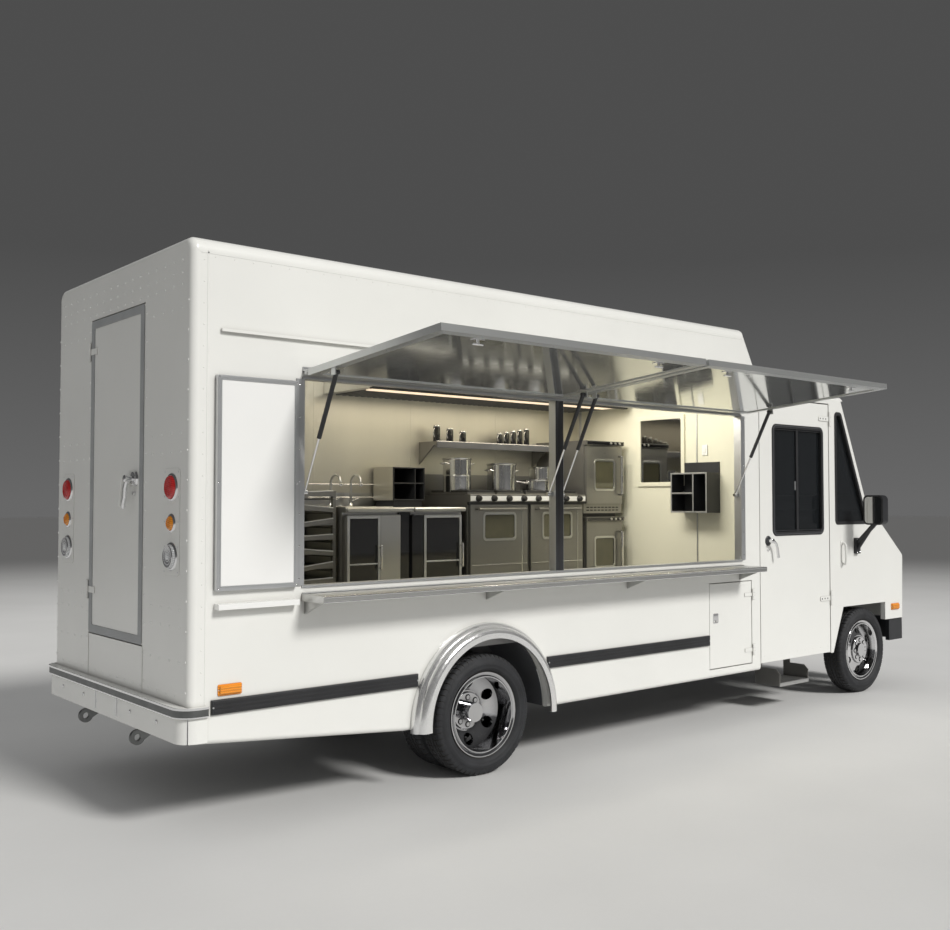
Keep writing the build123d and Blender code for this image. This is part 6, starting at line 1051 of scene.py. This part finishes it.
sink.box(CUBBY_X, near(CUBBY_Y[1], -4, 0), CUBBY_Z, "black_trim", 1)
sink.done("stainless")

# Pan rack: sheet pans with rolled rims that slope on their slides
RACK_X, RACK_Y, RACK_TOP = (1555.0, 1935.0), (480.0, 1000.0), 1915.0
TRAY_Z, TRAYS, TRAY_SLOPE = (990.0, 1885.0), 9, (18.0, -14.0, 6.0)
rack = Piece("rack_pans")
x0, x1 = wider(RACK_X, -34)
for i in range(TRAYS):
    z = TRAY_Z[0] + i * (TRAY_Z[1] - TRAY_Z[0]) / (TRAYS - 1)
    tip = TRAY_SLOPE[i % 3]
    lip = [(x0, z + 2 - tip), (x1, z + 2 + tip), (x1, z + 34 + tip), (x0, z + 34 - tip)]
    rack.prism(rounded_polygon(lip, 4, 2), "y", near(RACK_Y[0], -16, 8), "range_steel", edge=2)
    rack.bar((x0, RACK_Y[0] - 14, z + 36 - tip), (x1, RACK_Y[0] - 14, z + 36 + tip), 6, "aluminium", 10)
    for x in wider(RACK_X, -30):
        rack.box(near(x, 9), (RACK_Y[0] - 26, RACK_Y[1]), near(z, -24, -16), "range_steel", 2)
rack.box(wider(RACK_X, 4), wider(RACK_Y, 4), near(RACK_TOP, 0, 15), "range_steel", 4)
for x in wider(RACK_X, -14):
    for y in wider(RACK_Y, -14):
        rack.bar((x, y, 902), (x, y, 924), 26, "black_trim", 16, 4)
rack.done("aluminium")

# Hood: dark front lip, warm lit strip and baffle filters below
HOOD_X, HOOD_Y, HOOD_FOOT = (2150.0, 5120.0), 300.0, 2746.0
hood = Piece("hood_fittings")
hood.box((HOOD_X[0] - 3, HOOD_X[1] - 3), near(HOOD_Y, -9, 1), near(HOOD_FOOT, -8, 70), "iron", 3)
hood.box((HOOD_X[0], HOOD_X[1] - 4), near(HOOD_Y, -8, 40), near(HOOD_FOOT, -13, 0), "iron", 3)
strip_x = (HOOD_X[0] + 90, HOOD_X[1] - 120)
hood.box(strip_x, near(HOOD_Y, 44, 220), near(HOOD_FOOT, -8, -0.5), "warm_light", 2)
for x in steps(HOOD_X[0] + 100, HOOD_X[1] - 130, 62):
    hood.box(near(x, 0, 34), (HOOD_Y + 230, 985), near(HOOD_FOOT, -9, 0), "seal_grey", 3)
hood.done("stainless")

# Wall shelf: a rolled front lip over a dark band of painted shade
SHELF_X = (3152, 4538)
shelf = Piece("shelf_lip")
shelf.bar(*[(x, 760, 2374) for x in SHELF_X], 5, "chrome", 10)
# painted shade: the dark band stands for the lip's shadowed front
shelf.box(SHELF_X, (755, 764), (2318, 2371), "seal_grey", 2)
shelf.done("stainless")

# Cookware: lidded pots with rolled rims and side handles; jars with collars and a wire handle
COOKTOP, SHELF_TOP, JAR_Y = 1925.3, 2375.3, 889.7
POTS = ((3330.0, 700.0, 125.0, 290.0), (3800.0, 640.0, 130.0, 250.0), (4230.0, 640.0, 150.0, 110.0))
JARS = ((3250.0, 3, 150.0, 32.0, 150.0, -20.0), (4000.0, 5, 85.0, 28.0, 110.0, 14.0))
ware = Piece("cookware_detail")
for k, (x, y, r, h) in enumerate(POTS):
    tall = k == 0
    girdle = [(r, h * 0.48), (r + 3, h * 0.49), (r + 3, h * 0.52), (r, h * 0.53)] if tall else []
    wall = [(0, 0), (r - 6, 0), (r, 6), *girdle, (r, h - 6)]
    rim = [(r + 5, h - 4), (r + 8, h + 2), (r + 8, h + 10), (r + 2, h + 12), (r - 8, h + 12)]
    lid = [(r - 12, h + 12), (r * 0.6, h + 11.5), (26, h + 12), (0, h + 12)]
    ware.lathe(wall + rim + lid, (x, y, COOKTOP), UP, "pot_steel", 48)
    z = COOKTOP + h * (0.86 if tall else 0.78)
    loop = [(r - 2, -42, 0), (r + 34, -40, 6), (r + 42, 0, 8), (r + 34, 40, 6), (r - 2, 42, 0)]
    for way in (-1, 1):
        ware.tube([(x + way * out, y + across, z + up) for out, across, up in loop], 6, "chrome", 8)
bowl = [(0, 0), (104, 0), (110, 5), (110, 105), (115, 108), (115, 116)]
hollow = [(108, 118), (104, 112), (104, 10), (0, 10)]
ware.lathe(bowl + hollow, (4290, 640, COOKTOP + 122.4), UP, "pot_steel", 40)
grip = [(4090, 620, 84), (3990, 600, 96), (3930, 590, 100)]
ware.tube([(x, y, COOKTOP + z) for x, y, z in grip], 11, "chrome", 10)
for first, count, pitch, r, height, rise in JARS:
    for i in range(count):
        x, h = first + i * pitch, height + i * rise
        jar = [(0, 0), (r - 3, 0), (r, 4), (r, h - 22), (r - 4, h - 18), (r - 4, h - 14)]
        cap = [(r + 1, h - 14), (r + 2, h - 3), (r - 1, h), (0, h)]
        ware.lathe(jar, (x, JAR_Y, SHELF_TOP), UP, "dark_glass", 28)
        ware.lathe(cap, (x, JAR_Y, SHELF_TOP), UP, "chrome", 28)
        loop = [(0, 880, 0.3), (13, 875, 0.42), (13, 875, 0.7), (0, 880, 0.82)]
        ware.tube([(x - r - out, y, 2375 + h * share) for out, y, share in loop], 3.5, "chrome", 8)
ware.done("stainless", replaces=["cookware"])

# Driver's seat: crowned cushions with sewn channels and piping on a pedestal
SEAT_Y, CHANNELS = 560.0, (-0.55, -0.18, 0.18, 0.55)
PAD_ROWS, PAD_COLS, PAD_POWER = 40, 64, 0.28
CROWN, SEWN, SEAM_WIDE = 0.16, 0.16, 0.045


def cushion(name, place, size):
    """A crowned pad: a rounded box whose sides pull in between its corners, with channels sewn across."""
    pad = Piece(name, place)
    half = [s / 2 for s in size]

    def bend(t):
        return math.copysign(abs(t) ** PAD_POWER, t)

    verts = []
    for i in range(PAD_ROWS + 1):
        lat = -math.pi / 2 + math.pi * i / PAD_ROWS
        for k in range(PAD_COLS):
            lon = 2 * math.pi * k / PAD_COLS
            x = bend(math.cos(lat)) * bend(math.cos(lon))
            y = bend(math.cos(lat)) * bend(math.sin(lon))
            z = bend(math.sin(lat))
            pull = 1 - 0.035 * (1 - y * y) * abs(x), 1 - 0.03 * (1 - x * x)
            crown = 1 + CROWN * (1 - x * x) * (1 - y * y) if z > 0 else 1
            sew = sum(math.exp(-((y - c) / SEAM_WIDE) ** 2) for c in CHANNELS) * max(0, z) * SEWN
            thick = (crown - sew) / (1 + CROWN)
            verts.append((x * half[0] * pull[0], y * half[1] * pull[1], z * half[2] * thick))
    pad.add(verts, quads(PAD_ROWS + 1, PAD_COLS), "seat_vinyl")
    seam = rounded(near(0, half[0] * 0.93), near(0, half[1] * 0.95), 42, 6)
    pad.tube([(x, y, size[2] * 0.30) for x, y in seam], 5, "rubber", 8, closed=True)
    obj = pad.done("seat_vinyl", sharp=math.radians(80), flat=False)


cushion("seat_cushion", Matrix.Translation((6185, SEAT_Y, 1330)), (460, 472, 118))
lean_back = Matrix.Rotation(math.radians(80.5), 4, "Y")
cushion("seat_back", Matrix.Translation((5967, SEAT_Y, 1695)) @ lean_back, (680, 466, 104))
base = Piece("seat_base")
base.box((6010, 6360), (390, 635), (900, 1268), "dash_plastic", 12)
base.box((5990, 6380), (370, 640), (1240, 1272), "grey_frame", 5)
for y in (400, 610):
    base.box((5985, 6385), near(y, 14), (1225, 1242), "grey_frame", 3)
base.tube([(6000, 330, 1300), (5960, 325, 1300), (5935, 325, 1320)], 9, "black_trim", 8)
base.done("seat_vinyl", replaces=["driver_seat"])

# Dashboard: a gauge hood with plain dials, switches, and the wheel's padded hub
DASH_X, DIAL_Z = 6780.0, 1674.0
dash = Piece("dash_fittings")
dash.box(near(DASH_X, -60, 40), (350, 770), (1610, 1740), "dash_plastic", 14)
for y, r in ((460, 46), (560, 52), (660, 46)):
    spot = (DASH_X - 60, y, DIAL_Z)
    dash.lathe([(r + 6, 0), (r + 5, 5), (r, 6), (r - 1, 1), (0, 1)], spot, BACK, "chrome", 32)
    dash.lathe([(r - 2, 1.5), (0, 2)], spot, BACK, "board_white", 32)
    dash.box(near(DASH_X, -64, -62), near(y, 2), near(DIAL_Z, 0, r * 0.7), "red_lens", 0.5)
for y in steps(-500, 200, 70):
    dash.box(near(DASH_X, -6, 1), near(y, 16), (1500, 1530), "black_trim", 2)
dash.prism(rounded((-900, -520), (1330, 1480), 18), "x", near(DASH_X, -8, 1), "dash_plastic", edge=3)
hub = [(30, -10), (72, 4), (70, 20), (40, 30), (0, 32)]
dash.lathe(hub, (DASH_X - 230, SEAT_Y, 1670), (-0.8, 0, 0.6), "dash_plastic", 32)
dash.done("dash_plastic")

# Camera at the photograph's place
scene = bpy.context.scene
CAMERA = (-2.554, -5.477, 1.847)        # from the rear face, from the right side, from the ground, in metres
YAW, PITCH = math.radians(49.952), math.radians(1.965)
FOCAL_PX, IMAGE_W, SENSOR = 1059.18, 950, 36
camera = bpy.data.objects.new("camera", bpy.data.cameras.new("camera"))
scene.collection.objects.link(camera)
camera.location = (X0 + CAMERA[0], Y0 - HALF / 1000 + CAMERA[1], CAMERA[2])
ahead = Vector((math.cos(PITCH) * math.cos(YAW), math.cos(PITCH) * math.sin(YAW), math.sin(PITCH)))
camera.rotation_mode = "QUATERNION"
camera.rotation_quaternion = ahead.to_track_quat("-Z", "Y")
camera.data.sensor_fit = "HORIZONTAL"
camera.data.sensor_width = SENSOR
camera.data.lens = SENSOR * FOCAL_PX / IMAGE_W
camera.data.clip_end = 200
scene.camera = camera

# Light: a soft sun from the right, a pale sky, and the kitchen's own lamps
scene.view_settings.view_transform = "Standard"
SKY_LIGHT = 0.42
SKY = (0.42, 0.62), (0.30, 0.93)            # shares of the way from straight down to straight up, and greys
BACKDROP = (0.50, 0.61), (0.137, 0.075)     # the same, where camera, mirrors or glass see the background
world = bpy.data.worlds.new("studio")
scene.world = world
world.use_nodes = True
wn, wl = world.node_tree.nodes, world.node_tree.links
coords, split, height = [add_node(wn, kind) for kind in ("TexCoord", "SeparateXYZ", "Math")]
height.operation = "MULTIPLY_ADD"
height.inputs[1].default_value = height.inputs[2].default_value = 0.5
wl.new(coords.outputs["Generated"], split.inputs["Vector"])
wl.new(split.outputs["Z"], height.inputs[0])


def gradient(places, greys, strength):
    """A background whose grey runs between two heights."""
    low, high = [(grey,) * 3 for grey in greys]
    shader = add_node(wn, "Background", Strength=strength)
    wl.new(add_ramp(wn, wl, height.outputs["Value"], low, high, places), shader.inputs["Color"])
    return shader.outputs["Background"]


path = add_node(wn, "LightPath")
seen = path.outputs["Is Camera Ray"]
for ray in ("Is Glossy Ray", "Is Transmission Ray"):
    either = add_node(wn, "Math")
    either.operation = "MAXIMUM"
    wl.new(seen, either.inputs[0])
    wl.new(path.outputs[ray], either.inputs[1])
    seen = either.outputs["Value"]
pick = add_node(wn, "MixShader")
wl.new(seen, pick.inputs["Fac"])
wl.new(gradient(*SKY, SKY_LIGHT), pick.inputs[1])
wl.new(gradient(*BACKDROP, 1.0), pick.inputs[2])
wl.new(pick.outputs["Shader"], wn["World Output"].inputs["Surface"])


def lamp(name, kind, energy, color, place, target):
    """A lamp at one place of the vehicle, turned to another."""
    data = bpy.data.lights.new(name, kind)
    data.energy, data.color = energy, color
    obj = bpy.data.objects.new(name, data)
    scene.collection.objects.link(obj)
    obj.location = V(*place)
    obj.rotation_mode = "QUATERNION"
    obj.rotation_quaternion = (V(*target) - V(*place)).to_track_quat("-Z", "Y")
    return data


sun = lamp("sun", "SUN", 2.5, (1.0, 0.985, 0.955), (5200, -9000, 8200), (3500, 0, 1000))
sun.angle = math.radians(14)
WARM, PALE = (1.0, 0.90, 0.74), (1.0, 0.96, 0.86)
KITCHEN_LAMPS = (
    ("kitchen_strip", 11, WARM, (3600, 560, 2735), (3600, 500, 1200), (2.8, 0.25)),
    ("kitchen_front", 34, PALE, (3700, -300, 3090), (5150, -350, 1500), (1.2, 0.5)),
    ("kitchen_rear", 16, PALE, (1300, -270, 3130), (1200, 300, 1000), (1.2, 0.5)),
)
for name, energy, color, place, target, size in KITCHEN_LAMPS:
    panel = lamp(name, "AREA", energy, color, place, target)
    panel.shape = "RECTANGLE"
    panel.size, panel.size_y = size

# Ground: a painted pool of light, pale near the truck and darker far off
GROUND = 120.0
FLOOR_NEAR, FLOOR_FAR, FLOOR_FADE = 0.66, 0.14, (7.0, 30.0)       # greys, and metres from the truck's middle
floor_mesh = bpy.data.meshes.new("ground")
corners = [(x, y, 0) for x, y in ((-GROUND, -GROUND), (GROUND, -GROUND), (GROUND, GROUND), (-GROUND, GROUND))]
floor_mesh.from_pydata(corners, [], [range(4)])
ground = bpy.data.objects.new("ground", floor_mesh)
scene.collection.objects.link(ground)
surface("ground", (FLOOR_NEAR, FLOOR_NEAR, FLOOR_NEAR * 0.99), 0.8, vary=0.03, scale=0.6, grain=30, bump=0.05)
fn, fl = MATS["ground"].node_tree.nodes, MATS["ground"].node_tree.links
where, reach = add_node(fn, "TexCoord"), add_node(fn, "VectorMath")
reach.operation = "LENGTH"
fade = add_node(fn, "MapRange", From_Min=FLOOR_FADE[0], From_Max=FLOOR_FADE[1])
fade.interpolation_type = "SMOOTHSTEP"
fl.new(where.outputs["Object"], reach.inputs[0])
fl.new(reach.outputs["Value"], fade.inputs["Value"])
tone = fn["Principled BSDF"].inputs["Base Color"]
fl.new(add_mix(fn, fl, fade.outputs["Result"], tone.links[0].from_socket, (FLOOR_FAR,) * 3), tone)
floor_mesh.materials.append(MATS["ground"])
